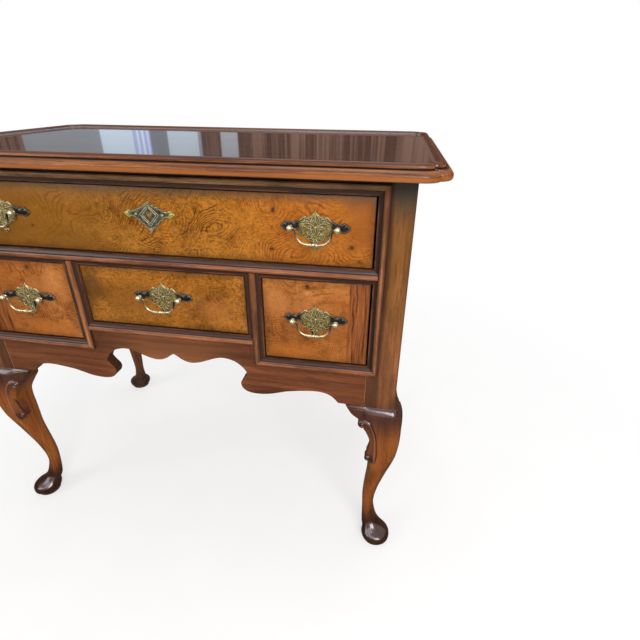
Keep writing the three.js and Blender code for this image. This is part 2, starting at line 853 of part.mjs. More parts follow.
// Turns a shape made for the front face into the same shape on the side face.
function swapSides(geometry) {
  const swap = new THREE.Matrix4().set(0, 1, 0, 0, 1, 0, 0, 0, 0, 0, 1, 0, 0, 0, 0, 1);
  return turnedOut(geometry.clone().applyMatrix4(swap));
}

// A mirrored geometry with its faces turned the right way out again.
function turnedOut(geometry) {
  const flat = geometry.index ? geometry.toNonIndexed() : geometry;
  const positions = flat.attributes.position;
  const first = new THREE.Vector3();
  const second = new THREE.Vector3();
  for (let index = 0; index < positions.count; index += 3) {
    first.fromBufferAttribute(positions, index);
    second.fromBufferAttribute(positions, index + 1);
    positions.setXYZ(index, second.x, second.y, second.z);
    positions.setXYZ(index + 1, first.x, first.y, first.z);
  }
  return flat;
}

// Puts a shape from the leg's frame at the right front or right rear corner of the case.
function atCorner(geometry, rear) {
  const placed = geometry.clone();
  if (rear) return placed.translate(caseHalf, backY, 0);
  return turnedOut(placed.scale(1, -1, 1)).translate(caseHalf, frontY, 0);
}

// The glue joint between post and bracket runs through the carved scroll, so each holds its own part of it.
const postSideOfJoint = block(-postSize, postSize, -postSize, postSize, 0, legTop);
const bracketSideOfJoint = block(
  -postSize - bracketReach,
  -postSize - glueGap,
  -postSize,
  postSize,
  0,
  legTop
);
const scroll = scrollSolid();
const frontScroll = common(scroll, postSideOfJoint);
const sideScroll = swapSides(frontScroll);
const frontBracket = join(bracketSolid(), common(scroll, bracketSideOfJoint));
const sideBracket = swapSides(frontBracket);
const legBlank = legSolid();
addPair('front_leg', atCorner(join(legBlank, frontScroll, sideScroll), false), walnutLeg);
addPair('rear_leg', atCorner(join(legBlank, sideScroll), true), walnutLeg);
addPair('front_knee_bracket', atCorner(frontBracket, false), walnutLeg);
addPair('front_side_knee_bracket', atCorner(sideBracket, false), walnutLeg);
addPair('rear_side_knee_bracket', atCorner(sideBracket, true), walnutLeg);

// Brasses, drawn about the middle of the plate, its back on Y = 0 and its front towards -Y.

// Right half of the backplate's outline, from the top point to the bottom one.
const plateShares = [
  [0, 1], [0.065, 0.8], [0.12, 0.68], [0.19, 0.66], [0.235, 0.565], [0.29, 0.61], [0.35, 0.6], [0.43, 0.45],
  [0.515, 0.35], [0.59, 0.27], [0.66, 0.21], [0.75, 0.27], [0.815, 0.35], [1, 0],
];
const pinHoleFloorShare = 0.15;
const plateFallShares = [
  [0.88, -0.16], [0.75, -0.2], [0.66, -0.17], [0.56, -0.12], [0.46, -0.17], [0.455, -0.3], [0.36, -0.435],
  [0.27, -0.425], [0.235, -0.53], [0.15, -0.6], [0.09, -0.62], [0.05, -0.76], [0.085, -0.86], [0, -1],
];

// Both halves of an outline that is given on the right, with its own scales up and down.
function mirroredOutline(upper, lower, halfWidth, rise, fall) {
  const right = [
    ...upper.map(([acrossShare, upShare]) => [acrossShare * halfWidth, upShare * rise]),
    ...lower.map(([acrossShare, downShare]) => [acrossShare * halfWidth, downShare * fall]),
  ];
  const left = right.slice(1, -1).map(([x, z]) => [-x, z]).reverse();
  return [...right, ...left];
}

function handlePost() {
  const neckIntoBallShare = 0.8;
  const footRimShare = 0.4;
  const footCrownShare = 1.25;
  const neckStartShare = 1.7;
  const ballStartShare = 0.2;
  const neckEnd = postReach - postBallRadius * neckIntoBallShare;
  const steps = 4;
  const profile = [
    new THREE.Vector2(0, -plateThickness / 2),
    new THREE.Vector2(postFootRadius, -plateThickness / 2),
    new THREE.Vector2(postFootRadius, postFootHeight * footRimShare),
    new THREE.Vector2(postNeckRadius * footCrownShare, postFootHeight),
    new THREE.Vector2(postNeckRadius, postFootHeight * neckStartShare),
    new THREE.Vector2(postNeckRadius, neckEnd),
  ];
  for (let step = 1; step <= steps; step += 1) {
    const share = ballStartShare + (1 - ballStartShare) * (step / steps);
    const angle = -Math.PI / 2 + Math.PI * share;
    const radius = step === steps ? 0 : postBallRadius * Math.cos(angle);
    profile.push(new THREE.Vector2(radius, postReach + postBallRadius * Math.sin(angle)));
  }
  return new THREE.LatheGeometry(profile, 8).rotateX(Math.PI);
}

function handlePlate() {
  const outline = mirroredOutline(plateShares, plateFallShares, plateHalfWidth, plateRise, plateFall);
  const plate = frontPrism(shapeOf(outline), -plateThickness, 0);
  const posts = [-1, 1].map((side) => {
    const post = handlePost().translate((side * postSpacing) / 2, -plateThickness, postLift);
    const hole = new THREE.CylinderGeometry(bailPinRadius + bailPinHoleGap, bailPinRadius + bailPinHoleGap,
      postBallRadius * 2, 8);
    hole.rotateZ(Math.PI / 2);
    const bottom = postSpacing / 2 - bailPinDepth * pinHoleFloorShare;
    hole.translate(side * (bottom - postBallRadius), -plateThickness - postReach, postLift);
    return cut(post, hole);
  });
  return join(plate, ...posts);
}

// Right half of the bail from its bend to the middle: how far in and how far down, as shares of its drop.
const bailShares = [[0.03, 0.42], [0.12, 0.66], [0.33, 0.88], [0.62, 0.985], [0.9, 1]];
const pinStartShare = 0.7;

// A bail in its own frame, hanging from its pins' axis.
function handleBail() {
  const pinEnd = postSpacing / 2 - bailPinDepth * pinHoleFloorShare - bailPinHoleGap;
  const sides = 8;
  const wire = new THREE.Shape();
  wire.absarc(0, 0, bailWireRadius, 0, Math.PI * 2, false);
  const bendShare = 0.3;
  const side = [
    [bailLegOffset + bailBendRadius, 0],
    [bailLegOffset + bailBendRadius * bendShare, -bailBendRadius * bendShare],
    [bailLegOffset, -bailBendRadius],
  ];
  for (const [inShare, downShare] of bailShares) {
    side.push([bailLegOffset - bailDrop * inShare, -bailDrop * downShare]);
  }
  const mirror = side.map(([x, z]) => [-x, z]).reverse();
  const points = [...side, ...mirror].map(([x, z]) => new THREE.Vector3(x, 0, z));
  const path = new THREE.CatmullRomCurve3(points, false, 'centripetal');
  const loop = new THREE.ExtrudeGeometry(wire, {
    steps: 22,
    extrudePath: path,
    bevelEnabled: false,
    curveSegments: sides / 2,
  });
  const pins = [-1, 1].map((way) => {
    const start = bailLegOffset + bailBendRadius * pinStartShare;
    const pin = new THREE.CylinderGeometry(bailPinRadius, bailPinRadius, pinEnd - start, sides);
    return pin.rotateZ(Math.PI / 2).translate((way * (start + pinEnd)) / 2, 0, 0);
  });
  const bead = new THREE.SphereGeometry(bailBeadRadius, 8, 6).rotateZ(Math.PI / 2).translate(0, 0, -bailDrop);
  const collars = [-1, 1].map((way) => {
    const collar = new THREE.CylinderGeometry(bailCollarRadius, bailCollarRadius, bailCollarLength, 8);
    return collar.rotateZ(Math.PI / 2).translate(way * bailCollarOffset, 0, -bailDrop);
  });
  return join(loop, bead, ...pins, ...collars);
}

const plateGeometry = handlePlate();
const bailGeometry = handleBail();

// A handle on a drawer front: its plate with both posts, and its bail.
function addHandle(name, x, z, face) {
  const plate = named(`${name}_plate`, plateGeometry, brass);
  plate.position.set(x, face, z);
  const bail = named(`${name}_bail`, bailGeometry, brass);
  bail.position.set(x, face - plateThickness - postReach, z + postLift);
  lowboy.add(plate, bail);
}

const escutcheonShares = [
  [0, 1], [0.1, 0.66], [0.2, 0.47], [0.29, 0.41], [0.38, 0.3], [0.47, 0.2], [0.6, 0.2], [0.72, 0.24],
  [0.8, 0.33], [1, 0],
];
const escutcheonFallShares = [
  [0.8, -0.22], [0.72, -0.16], [0.6, -0.17], [0.47, -0.14], [0.4, -0.27], [0.3, -0.42], [0.2, -0.57],
  [0.13, -0.75], [0, -1],
];

function escutcheon() {
  const outline = mirroredOutline(
    escutcheonShares,
    escutcheonFallShares,
    escutcheonHalfWidth,
    escutcheonRise,
    escutcheonFall
  );
  const shape = shapeOf(outline);
  const keyhole = new THREE.Path();
  const halfSlot = keyholeSlotWidth / 2;
  const meet = Math.asin(halfSlot / keyholeRadius);
  keyhole.moveTo(halfSlot, -keyholeFall);
  keyhole.lineTo(keyholeRadius * Math.sin(meet), -keyholeRadius * Math.cos(meet));
  keyhole.absarc(0, 0, keyholeRadius, -Math.PI / 2 + meet, Math.PI * 1.5 - meet, false);
  keyhole.lineTo(-halfSlot, -keyholeFall);
  shape.holes.push(keyhole);
  return frontPrism(shape, -plateThickness, 0, 5);
}

// Drawers: a front, two sides, a back and a bottom let into grooves.

function addDrawer(name, opening) {
  const { left, right, bottom, top, leftGap, rightGap } = opening;
  const face = frontY + frontRecess;
  const frontBack = face + drawerFrontThickness;
  const frontLeft = left + leftGap;
  const frontRight = right - rightGap;
  const frontTop = top - frontGap;
  const frontBottom = bottom + frontGap;
  const sideBottom = bottom + slideGap;
  const sideTop = frontTop - drawerSideDrop;
  const outerLeft = frontLeft + sideClearance;
  const outerRight = frontRight - sideClearance;
  const innerLeft = outerLeft + drawerSideThickness;
  const innerRight = outerRight - drawerSideThickness;
  const boxBack = face + drawerLength;
  const panelBottom = sideBottom + grooveHeight;
  const panelTop = panelBottom + drawerBottomThickness;
  const panelLeft = innerLeft - grooveDepth + grooveFit;
  const panelRight = innerRight + grooveDepth - grooveFit;
  const panelFront = frontBack - grooveDepth + grooveFit;

  const frontBoard = block(frontLeft, frontRight, face, frontBack, frontBottom, frontTop);
  const frontGroove = block(
    innerLeft - grooveDepth,
    innerRight + grooveDepth,
    frontBack - grooveDepth,
    frontBack + overrun,
    panelBottom - grooveFit,
    panelTop + grooveFit
  );
  lowboy.add(named(`${name}_front`, cut(frontBoard, frontGroove), walnutFront));

  const side = (x0, x1, grooveX0, grooveX1) =>
    cut(
      block(x0, x1, frontBack + glueGap, boxBack, sideBottom, sideTop),
      block(
        grooveX0,
        grooveX1,
        frontBack - overrun,
        boxBack + overrun,
        panelBottom - grooveFit,
        panelTop + grooveFit
      )
    );
  const leftSide = side(outerLeft, innerLeft, innerLeft - grooveDepth, innerLeft + overrun);
  const rightSide = side(innerRight, outerRight, innerRight - overrun, innerRight + grooveDepth);
  lowboy.add(named(`${name}_left_side`, leftSide, secondaryWood));
  lowboy.add(named(`${name}_right_side`, rightSide, secondaryWood));

  const backBoard = block(
    innerLeft + glueGap,
    innerRight - glueGap,
    boxBack - drawerBackThickness,
    boxBack,
    panelTop + glueGap,
    sideTop - drawerBackDrop
  );
  lowboy.add(named(`${name}_back`, backBoard, secondaryWood));
  const panel = block(panelLeft, panelRight, panelFront, boxBack, panelBottom, panelTop);
  lowboy.add(named(`${name}_bottom`, panel, secondaryWood));
  return face - glueGap;
}

const brassFace = addDrawer('top_drawer', {
  left: -openingHalf,
  right: openingHalf,
  bottom: topOpeningBottom,
  top: topOpeningTop,
  leftGap: outerFrontGap,
  rightGap: outerFrontGap,
});
addDrawer('centre_drawer', {
  left: -centreHalf,
  right: centreHalf,
  bottom: centreOpeningBottom,
  top: lowerOpeningTop,
  leftGap: frontGap,
  rightGap: frontGap,
});
addDrawer('right_drawer', {
  left: dividerOuter,
  right: openingHalf,
  bottom: sideOpeningBottom,
  top: lowerOpeningTop,
  leftGap: frontGap,
  rightGap: outerFrontGap,
});
addDrawer('left_drawer', {
  left: -openingHalf,
  right: -dividerOuter,
  bottom: sideOpeningBottom,
  top: lowerOpeningTop,
  leftGap: outerFrontGap,
  rightGap: frontGap,
});

const sideMiddle = (dividerOuter + openingHalf) / 2;
addHandle('top_right_handle', topHandleOffset, topOpeningTop - topHandleDrop - postLift, brassFace);
addHandle('top_left_handle', -topHandleOffset, topOpeningTop - topHandleDrop - postLift, brassFace);
addHandle('centre_handle', 0, lowerOpeningTop - centreHandleDrop - postLift, brassFace);
addHandle('right_handle', sideMiddle, lowerOpeningTop - sideHandleDrop - postLift, brassFace);
addHandle('left_handle', -sideMiddle, lowerOpeningTop - sideHandleDrop - postLift, brassFace);

const escutcheonPlate = named('escutcheon', escutcheon(), brass);
escutcheonPlate.position.set(0, brassFace, topOpeningTop - escutcheonDrop);
lowboy.add(escutcheonPlate);

export default lowboy;
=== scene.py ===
import json
from math import asin, cos, dist, exp, pi, radians, sin, sqrt

import bmesh
import bpy
from mathutils import Matrix, Vector
from mathutils.bvhtree import BVHTree
from mathutils.geometry import tessellate_polygon

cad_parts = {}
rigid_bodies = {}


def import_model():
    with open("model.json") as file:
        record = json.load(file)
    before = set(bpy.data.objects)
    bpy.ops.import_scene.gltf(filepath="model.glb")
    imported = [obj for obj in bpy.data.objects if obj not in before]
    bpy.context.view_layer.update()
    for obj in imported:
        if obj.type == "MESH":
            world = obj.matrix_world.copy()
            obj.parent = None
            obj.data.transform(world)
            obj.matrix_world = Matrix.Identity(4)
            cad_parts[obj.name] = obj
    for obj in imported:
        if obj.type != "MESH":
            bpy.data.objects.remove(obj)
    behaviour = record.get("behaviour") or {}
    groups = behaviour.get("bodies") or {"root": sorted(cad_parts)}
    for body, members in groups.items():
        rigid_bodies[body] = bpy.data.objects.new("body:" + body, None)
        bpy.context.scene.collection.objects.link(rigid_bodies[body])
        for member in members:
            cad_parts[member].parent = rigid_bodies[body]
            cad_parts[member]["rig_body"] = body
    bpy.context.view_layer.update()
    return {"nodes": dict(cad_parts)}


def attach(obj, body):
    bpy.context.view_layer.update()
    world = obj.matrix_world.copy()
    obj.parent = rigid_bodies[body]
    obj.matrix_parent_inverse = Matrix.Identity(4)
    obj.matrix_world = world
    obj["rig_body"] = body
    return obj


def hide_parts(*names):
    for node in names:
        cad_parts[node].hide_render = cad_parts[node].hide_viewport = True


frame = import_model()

# Sizes of the CAD part, in millimetres. Object space is the row frame, in metres.
MM = 0.001
OVERALL_HEIGHT = 780
TOP_WIDTH = 898
TOP_DEPTH = 524
CORNER_LENGTH = 44
CORNER_CUSP = 18
CASE_TOP = 757
CASE_HALF = 405
FRONT_Y = -220
BACK_Y = 235
BACK_PANEL_FRONT = 227
OPENING_HALF = 352
TOP_OPENING_TOP = 731
TOP_OPENING_BOTTOM = 621
LOWER_OPENING_TOP = 597
CENTRE_OPENING_BOTTOM = 487
SIDE_OPENING_BOTTOM = 446.5
CENTRE_HALF = 147
DIVIDER_OUTER = 173.4
LEG_TOP = 360
POST_SIZE = 53
RAIL_DEPTH = 45
APRON_HEIGHT = 86.5
APRON_THICKNESS = 20
SIDE_PANEL_THICKNESS = 16
SIDE_ARCH_RISE = 24
PARTITION_WEB = 12
LEDGE_WIDTH = 13
LEDGE_THICKNESS = 14
DRAWER_FACE = -219
GLUE_GAP = 0.3
HAIRLINE = 0.06
# How far boards stand back behind the mouldings worked on them, and how far cuts run past the wood.
FACE_LAP = 0.1
OVERRUN = 5
# Widths of the rounded edges.
RAIL_EDGE = 0.4
BOARD_EDGE = 0.5
INSIDE_EDGE = 0.6
FRONT_EDGE = 0.7
PANEL_EDGE = 0.8
APRON_EDGE = 0.9
# Points nearer than this become one: in carving, in boards and round a plate's hole.
CARVING_WELD = 0.02
BOARD_WELD = 0.01
HOLE_WELD = 0.001

COVE_WIDTH = 7
COVE_LIP = 1
COVE_FOOT = 3.4
BEAD_WIDTH = 10.5
BEAD_PROUD = 6.5
EDGE_WIDTH = COVE_WIDTH + BEAD_WIDTH
STILE_TOP = TOP_OPENING_TOP + EDGE_WIDTH
STILE_BOTTOM = SIDE_OPENING_BOTTOM - EDGE_WIDTH
STILE_OUTER = OPENING_HALF + EDGE_WIDTH

PLATE_THICKNESS = 1.6
# Half width of the plates, and their rise and fall from the middle.
PLATE_SIZE = (54, 25.5, 37)
ESCUTCHEON_SIZE = (42.8, 19, 31.5)
KEYHOLE_RADIUS = 3.4
KEYHOLE_SLOT = 1.8
KEYHOLE_FALL = 8
POST_SPACING = 70
POST_LIFT = 2
POST_REACH = 18
POST_BALL = 4.6
PIN_RADIUS = 1.6
BAIL_LEG = 26.5
BAIL_BEND = 4
BAIL_DROP = 23.5
BAIL_BEAD = 3.3

FOOT_RADIUS = 29.3
FOOT_INSET = 12.4
BRACKET_REACH = 34
BRACKET_FALL = 38
BRACKET_PROUD = 9.5
BRACKET_TIP_PROUD = 4.6
SCROLL_DEPTH = 6
SCROLL_PROUD = 17
SCROLL_RELIEF = 2

X, Y, Z = 0, 1, 2
SIDES = [("right", 1), ("left", -1)]


# Meshes.

def linked(name, data):
    thing = bpy.data.objects.new(name, data)
    bpy.context.scene.collection.objects.link(thing)
    return thing


def smooth(piece, angle=32):
    piece.data.shade_smooth()
    piece.data.set_sharp_from_angle(angle=radians(angle))
    return piece


def from_bmesh(name, shape, angle=32):
    bmesh.ops.recalc_face_normals(shape, faces=shape.faces)
    mesh = bpy.data.meshes.new(name)
    shape.to_mesh(mesh)
    shape.free()
    return smooth(linked(name, mesh), angle)


def body_of(node):
    return frame["nodes"][node]["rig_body"]


def finished(piece, material, node=None, body="case"):
    """Gives a piece its material, slot and body, and hides the CAD node that it stands for."""
    piece.data.materials.clear()
    piece.data.materials.append(material)
    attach(piece, body_of(node) if node else body)
    if node:
        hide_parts(node)
    return piece


def welded(shape, distance):
    bmesh.ops.remove_doubles(shape, verts=shape.verts, dist=distance * MM)


def added(shape, points, faces):
    """Adds points, in millimetres, and faces to a bmesh."""
    corners = [shape.verts.new([MM * c for c in point]) for point in points]
    for face in faces:
        shape.faces.new([corners[i] for i in face])


def turns(count):
    return [2 * pi * i / count for i in range(count)]


def add_skin(points, faces, rings, closed_ends=True):
    """Adds a skin through rings that hold the same number of points to lists of points and faces."""
    first, count = len(points), len(rings[0])
    points += [point for ring in rings for point in ring]
    for level in range(len(rings) - 1):
        low = first + level * count
        for i in range(count):
            j = (i + 1) % count
            faces.append((low + i, low + j, low + count + j, low + count + i))
    if closed_ends:
        faces.append(tuple(range(first, first + count))[::-1])
        faces.append(tuple(range(first + (len(rings) - 1) * count, first + len(rings) * count)))


def add_loft(shape, rings, closed_ends=True):
    points, faces = [], []
    add_skin(points, faces, rings, closed_ends)
    added(shape, points, faces)


def prism(outline, axis, low, high, shape=None):
    """An outline, seen along an axis, carried between two places on that axis."""
    shape = shape or bmesh.new()
    add_loft(shape, [[(*point[:axis], depth, *point[axis:]) for point in outline] for depth in (low, high)])
    return shape


def block(x0, x1, y0, y1, z0, z1, shape=None):
    return prism([(x0, z0), (x1, z0), (x1, z1), (x0, z1)], Y, y0, y1, shape)


def bevel_sharp(shape, width, segments=2, least=28):
    """Rounds the edges that are sharper than the least angle."""
    edges = [e for e in shape.edges if len(e.link_faces) == 2 and e.calc_face_angle(0) > radians(least)]
    bmesh.ops.bevel(shape, geom=edges, offset=width * MM, segments=segments, profile=0.5, affect="EDGES",
                    clamp_overlap=True)


def add_softened(node, width, material):
    """A new piece with the CAD node's shape and rounded edges, which stands for that node."""
    shape = bmesh.new()
    shape.from_mesh(frame["nodes"][node].data)
    welded(shape, BOARD_WELD)
    bmesh.ops.dissolve_limit(shape, angle_limit=radians(1), verts=shape.verts, edges=shape.edges)
    bevel_sharp(shape, width)
    finished(from_bmesh(f"{node}.board", shape), material, node)


def catmull(points, steps=8):
    """A smooth run through points of any size, as three.js draws it, end points included."""
    out = []
    last = len(points) - 1
    for i in range(last):
        run = zip(points[max(i - 1, 0)], points[i], points[i + 1], points[min(i + 2, last)])
        run = [(b, (c - a), (2 * a - 5 * b + 4 * c - d), (3 * b - a - 3 * c + d)) for a, b, c, d in run]
        for step in range(steps):
            t = step / steps
            out.append(tuple(0.5 * (slope * t + 2 * b + curve * t ** 2 + bend * t ** 3)
                             for b, slope, curve, bend in run))
    out.append(tuple(points[-1]))
    return out


def evenly(points, count):
    """The same run with points at equal distances."""
    lengths = [0.0]
    for a, b in zip(points, points[1:]):
        lengths.append(lengths[-1] + dist(a, b))
    out = []
    at = 0
    for i in range(count):
        want = lengths[-1] * i / (count - 1)
        while at < len(lengths) - 2 and lengths[at + 1] < want:
            at += 1
        share = (want - lengths[at]) / max(lengths[at + 1] - lengths[at], 1e-9)
        out.append(tuple(a + (b - a) * share for a, b in zip(points[at], points[at + 1])))
    return out


# Keeps a sharp corner that is drawn in from running far past it.
MITRE_LIMIT = 0.35


def inset(points, distance):
    """A closed outline drawn in by a distance."""
    after = points[1:] + points[:1]
    turn = 1 if sum(a[0] * b[1] - b[0] * a[1] for a, b in zip(points, after)) > 0 else -1
    out = []
    for i, here in enumerate(map(Vector, points)):
        incoming = (here - Vector(points[i - 1])).normalized()
        outgoing = (Vector(after[i]) - here).normalized()
        normal = Vector((-incoming.y, incoming.x))
        bisector = Vector((-(incoming.y + outgoing.y), incoming.x + outgoing.x))
        if bisector.length < 1e-6:
            bisector = normal.copy()
        bisector.normalize()
        out.append(tuple(here + bisector * (turn * distance / max(bisector.dot(normal), MITRE_LIMIT))))
    return out


def mirrored(right):
    """An outline's right half and, in reverse, its left half; a point in the middle comes once."""
    return right + [(-x, z) for x, z in reversed(right) if x]


def eased(share):
    return share * share * (3 - 2 * share)


def along_table(table, at):
    """Eased steps between the rows of a table of places and values."""
    for (a, low), (b, high) in zip(table, table[1:]):
        if at <= b:
            return low + (high - low) * eased(max(0.0, (at - a) / (b - a)))
    return table[-1][1]


def tube_rings(path, radii, sides, flat, closed=False):
    """Rings round a path in a plate's plane; flat squeezes them from front to back."""
    rings = []
    count = len(path)
    for i, point in enumerate(path):
        before = Vector(path[i - 1] if closed or i else path[0])
        after = Vector(path[(i + 1) % count] if closed or i < count - 1 else path[-1])
        side = (after - before).normalized().cross(Vector((0, 1, 0))).normalized()
        radius = radii[i] if isinstance(radii, list) else radii
        rings.append([tuple(Vector(point) + side * (radius * cos(angle))
                            + Vector((0, flat * radius * sin(angle), 0))) for angle in turns(sides)])
    if closed:
        rings.append(rings[0])
    return rings


def add_tube(shape, path, radii, sides, flat=1.0, closed=False):
    add_loft(shape, tube_rings(path, radii, sides, flat, closed), closed_ends=not closed)


# Node materials.

def srgb(red, green, blue):
    """A colour written as 0 to 255 values, as Blender's linear colour."""
    shares = [value / 255 for value in (red, green, blue)]
    return (*(s / 12.92 if s <= 0.04045 else ((s + 0.055) / 1.055) ** 2.4 for s in shares), 1.0)


class Nodes:
    """A node tree, with short calls for its nodes."""

    def __init__(self, tree):
        self.tree = tree

    def put(self, value, socket):
        if isinstance(value, bpy.types.NodeSocket):
            self.tree.links.new(value, socket)
        else:
            socket.default_value = value

    def add(self, kind, inputs=None, **settings):
        node = self.tree.nodes.new(f"ShaderNode{kind}")
        for key, value in settings.items():
            setattr(node, key, value)
        for key, value in (inputs or {}).items():
            self.put(value, node.inputs[key])
        return node

    def math(self, operation, a, b=0.0, c=0.0):
        return self.add("Math", {0: a, 1: b, 2: c}, operation=operation).outputs[0]

    def seen_or_mirrored(self):
        """1 for rays from the camera and in reflections and glass, 0 for the light that falls on things."""
        ray = self.add("LightPath").outputs
        either = self.math("MAXIMUM", ray["Is Camera Ray"], ray["Is Glossy Ray"])
        return self.math("MAXIMUM", either, ray["Is Transmission Ray"])


class Paint(Nodes):
    """A material's node tree, with a short call for each kind of node, and the colour mixed so far.

    Tones are written as 0 to 255 values.
    """

    def __init__(self, name, rough, specular, coat=0.0, coat_rough=0.03, metal=0.0):
        self.material = bpy.data.materials.new(name)
        self.material.use_nodes = True
        super().__init__(self.material.node_tree)
        self.shader = self.tree.nodes["Principled BSDF"]
        for socket, value in (("Roughness", rough), ("Specular IOR Level", specular), ("Coat Weight", coat),
                              ("Coat Roughness", coat_rough), ("Metallic", metal)):
            self.shader.inputs[socket].default_value = value
        self.place = self.add("TexCoord").outputs["Object"]
        self.x, self.y, self.z = self.xyz(self.place)

    def set(self, socket, value):
        self.tree.links.new(value, self.shader.inputs[socket])

    def times(self, a, b):
        return self.math("MULTIPLY", a, b)

    def off(self, value, middle=0.0):
        """How far a value is from a middle, on either side."""
        return self.math("ABSOLUTE", self.math("SUBTRACT", value, middle))

    def loose(self, value, noise, spread):
        """A value pushed up and down by noise, by half the spread each way."""
        return self.math("ADD", value, self.math("MULTIPLY_ADD", noise, spread, -spread / 2))

    def noise(self, vector, scale, detail, rough=0.5, bend=0.0):
        return self.add("TexNoise", {"Vector": vector, "Scale": scale, "Detail": detail, "Roughness": rough,
                                     "Distortion": bend})

    def fac(self, vector, scale, detail=2.0, rough=0.5, bend=0.0):
        return self.noise(vector, scale, detail, rough, bend).outputs["Fac"]

    def streaks(self, vector, stretch, scale, detail, rough, bend=0.0):
        """Noise that is drawn out where the stretch is small."""
        drawn = self.add("Mapping", {"Vector": vector, "Scale": stretch}).outputs[0]
        return self.fac(drawn, scale, detail, rough, bend)

    def ramp(self, value, stops):
        node = self.add("ValToRGB", {"Fac": value})
        node.color_ramp.interpolation = "EASE"
        spots = node.color_ramp.elements
        while len(spots) < len(stops):
            spots.new(0.5)
        for spot, (position, colour) in zip(spots, stops):
            spot.position = position
            spot.color = colour if isinstance(colour, tuple) else (colour, colour, colour, 1)
        return node.outputs["Color"]

    def between(self, value, low, high, out_low=0.0, out_high=1.0):
        return self.add("MapRange", {0: value, 1: low, 2: high, 3: out_low, 4: out_high},
                        interpolation_type="SMOOTHSTEP").outputs[0]

    def past(self, value, place, spread=1):
        """0 before a place in millimetres and 1 after it, for a value in metres."""
        return self.between(value, (place - spread) * MM, (place + spread) * MM)

    def mix(self, share, a, b, blend="MIX"):
        node = self.add("Mix", data_type="RGBA", blend_type=blend)
        for index, value in ((0, share), (6, a), (7, b)):
            self.put(value, node.inputs[index])
        return node.outputs[2]

    def xyz(self, vector):
        return self.add("SeparateXYZ", {0: vector}).outputs

    def vector(self, x, y, z):
        return self.add("CombineXYZ", {0: x, 1: y, 2: z}).outputs[0]

    def vector_math(self, operation, inputs):
        return self.add("VectorMath", inputs, operation=operation).outputs

    def warped(self, vector, scale, amount, detail=2.0):
        """A vector pushed about by noise, by at most about the amount."""
        push = self.noise(vector, scale, detail).outputs["Color"]
        centred = self.vector_math("SUBTRACT", {0: push, 1: (0.5, 0.5, 0.5)})[0]
        sized = self.vector_math("SCALE", {0: centred, "Scale": 2 * amount})[0]
        return self.vector_math("ADD", {0: vector, 1: sized})[0]

    def grained(self, axis):
        """Object space turned so that its X runs along the grain."""
        turned = {"x": (self.x, self.y, self.z), "y": (self.y, self.x, self.z), "z": (self.z, self.y, self.x)}
        return self.vector(*turned[axis])

    def tones(self, value, places, tones):
        """Starts the colour, from tones at places of a value."""
        self.colour = self.ramp(value, [(place, srgb(*tone)) for place, tone in zip(places, tones)])

    def lay(self, share, tone):
        self.colour = self.mix(share, self.colour, srgb(*tone))

    def shade(self, value, low, high, tone, most=1.0):
        """Turns the colour towards a tone, at most by a share, as a value goes from low to high."""
        self.lay(self.between(value, low, high, 0.0, most), tone)

    def darken(self, value, low, high, least):
        """Multiplies the colour by a grey that rises from least to 1 as a value goes from low to high."""
        grey = self.ramp(value, [(low, least), (high, 1.0)])
        self.colour = self.mix(1.0, self.colour, grey, "MULTIPLY")
        return grey

    def grain(self, axis, streak=0.35, pore=0.5):
        """Draws streaks and pores along the grain, and returns a height for the bump."""
        along = self.warped(self.grained(axis), 5.0, 0.006)
        fine = self.streaks(along, (9, 420, 420), 1.0, 4.0, 0.65)
        self.darken(self.streaks(along, (2.2, 60, 60), 1.0, 4.0, 0.6), 0.3, 0.62, 1 - streak)
        self.darken(fine, 0.32, 0.56, 1 - 0.6 * streak)
        pores = self.streaks(along, (55, 1500, 1500), 1.0, 2.0, 0.6)
        hole = self.darken(pores, 0.34, 0.45, 1 - pore)
        return self.math("MULTIPLY_ADD", fine, 0.5, hole)

    def finish(self, height, strength, distance=0.0002):
        self.set("Base Color", self.colour)
        bump = self.add("Bump", {"Height": height, "Strength": strength, "Distance": distance})
        self.set("Normal", bump.outputs[0])
        return self.material


def plain_walnut(name, light, mid, dark, axis, rough=0.32, coat=0.3):
    """Straight-grained polished walnut, and the height for its bump."""
    paint = Paint(name, rough, 0.28, coat, 0.12)
    along = paint.warped(paint.grained(axis), 4.0, 0.01)
    cloud = paint.streaks(along, (1.0, 7, 7), 3.0, 3.0, 0.55)
    paint.tones(cloud, (0.28, 0.5, 0.74), (dark, mid, light))
    return paint, paint.grain(axis)


# Walnut of the top.

def top_field_paint():
    """The mirror-like polish of the top's field, in red-brown walnut."""
    paint = Paint("polished_top", 0.3, 0.2, 1.0, 0.02)
    along = paint.warped(paint.place, 2.5, 0.02)
    cloud = paint.streaks(along, (1.1, 8, 8), 2.6, 4.0, 0.6)
    paint.tones(cloud, (0.3, 0.52, 0.75), ((48, 23, 16), (74, 38, 26), (100, 54, 36)))
    height = paint.grain("x", 0.3, 0.3)
    wave = paint.streaks(paint.warped(paint.place, 12.0, 0.01), (5, 34, 34), 1.0, 3.0, 0.6)
    ripple = paint.add("Bump", {"Height": wave, "Strength": 0.5, "Distance": 0.00012})
    paint.set("Coat Normal", ripple.outputs[0])
    return paint.finish(height, 0.12)


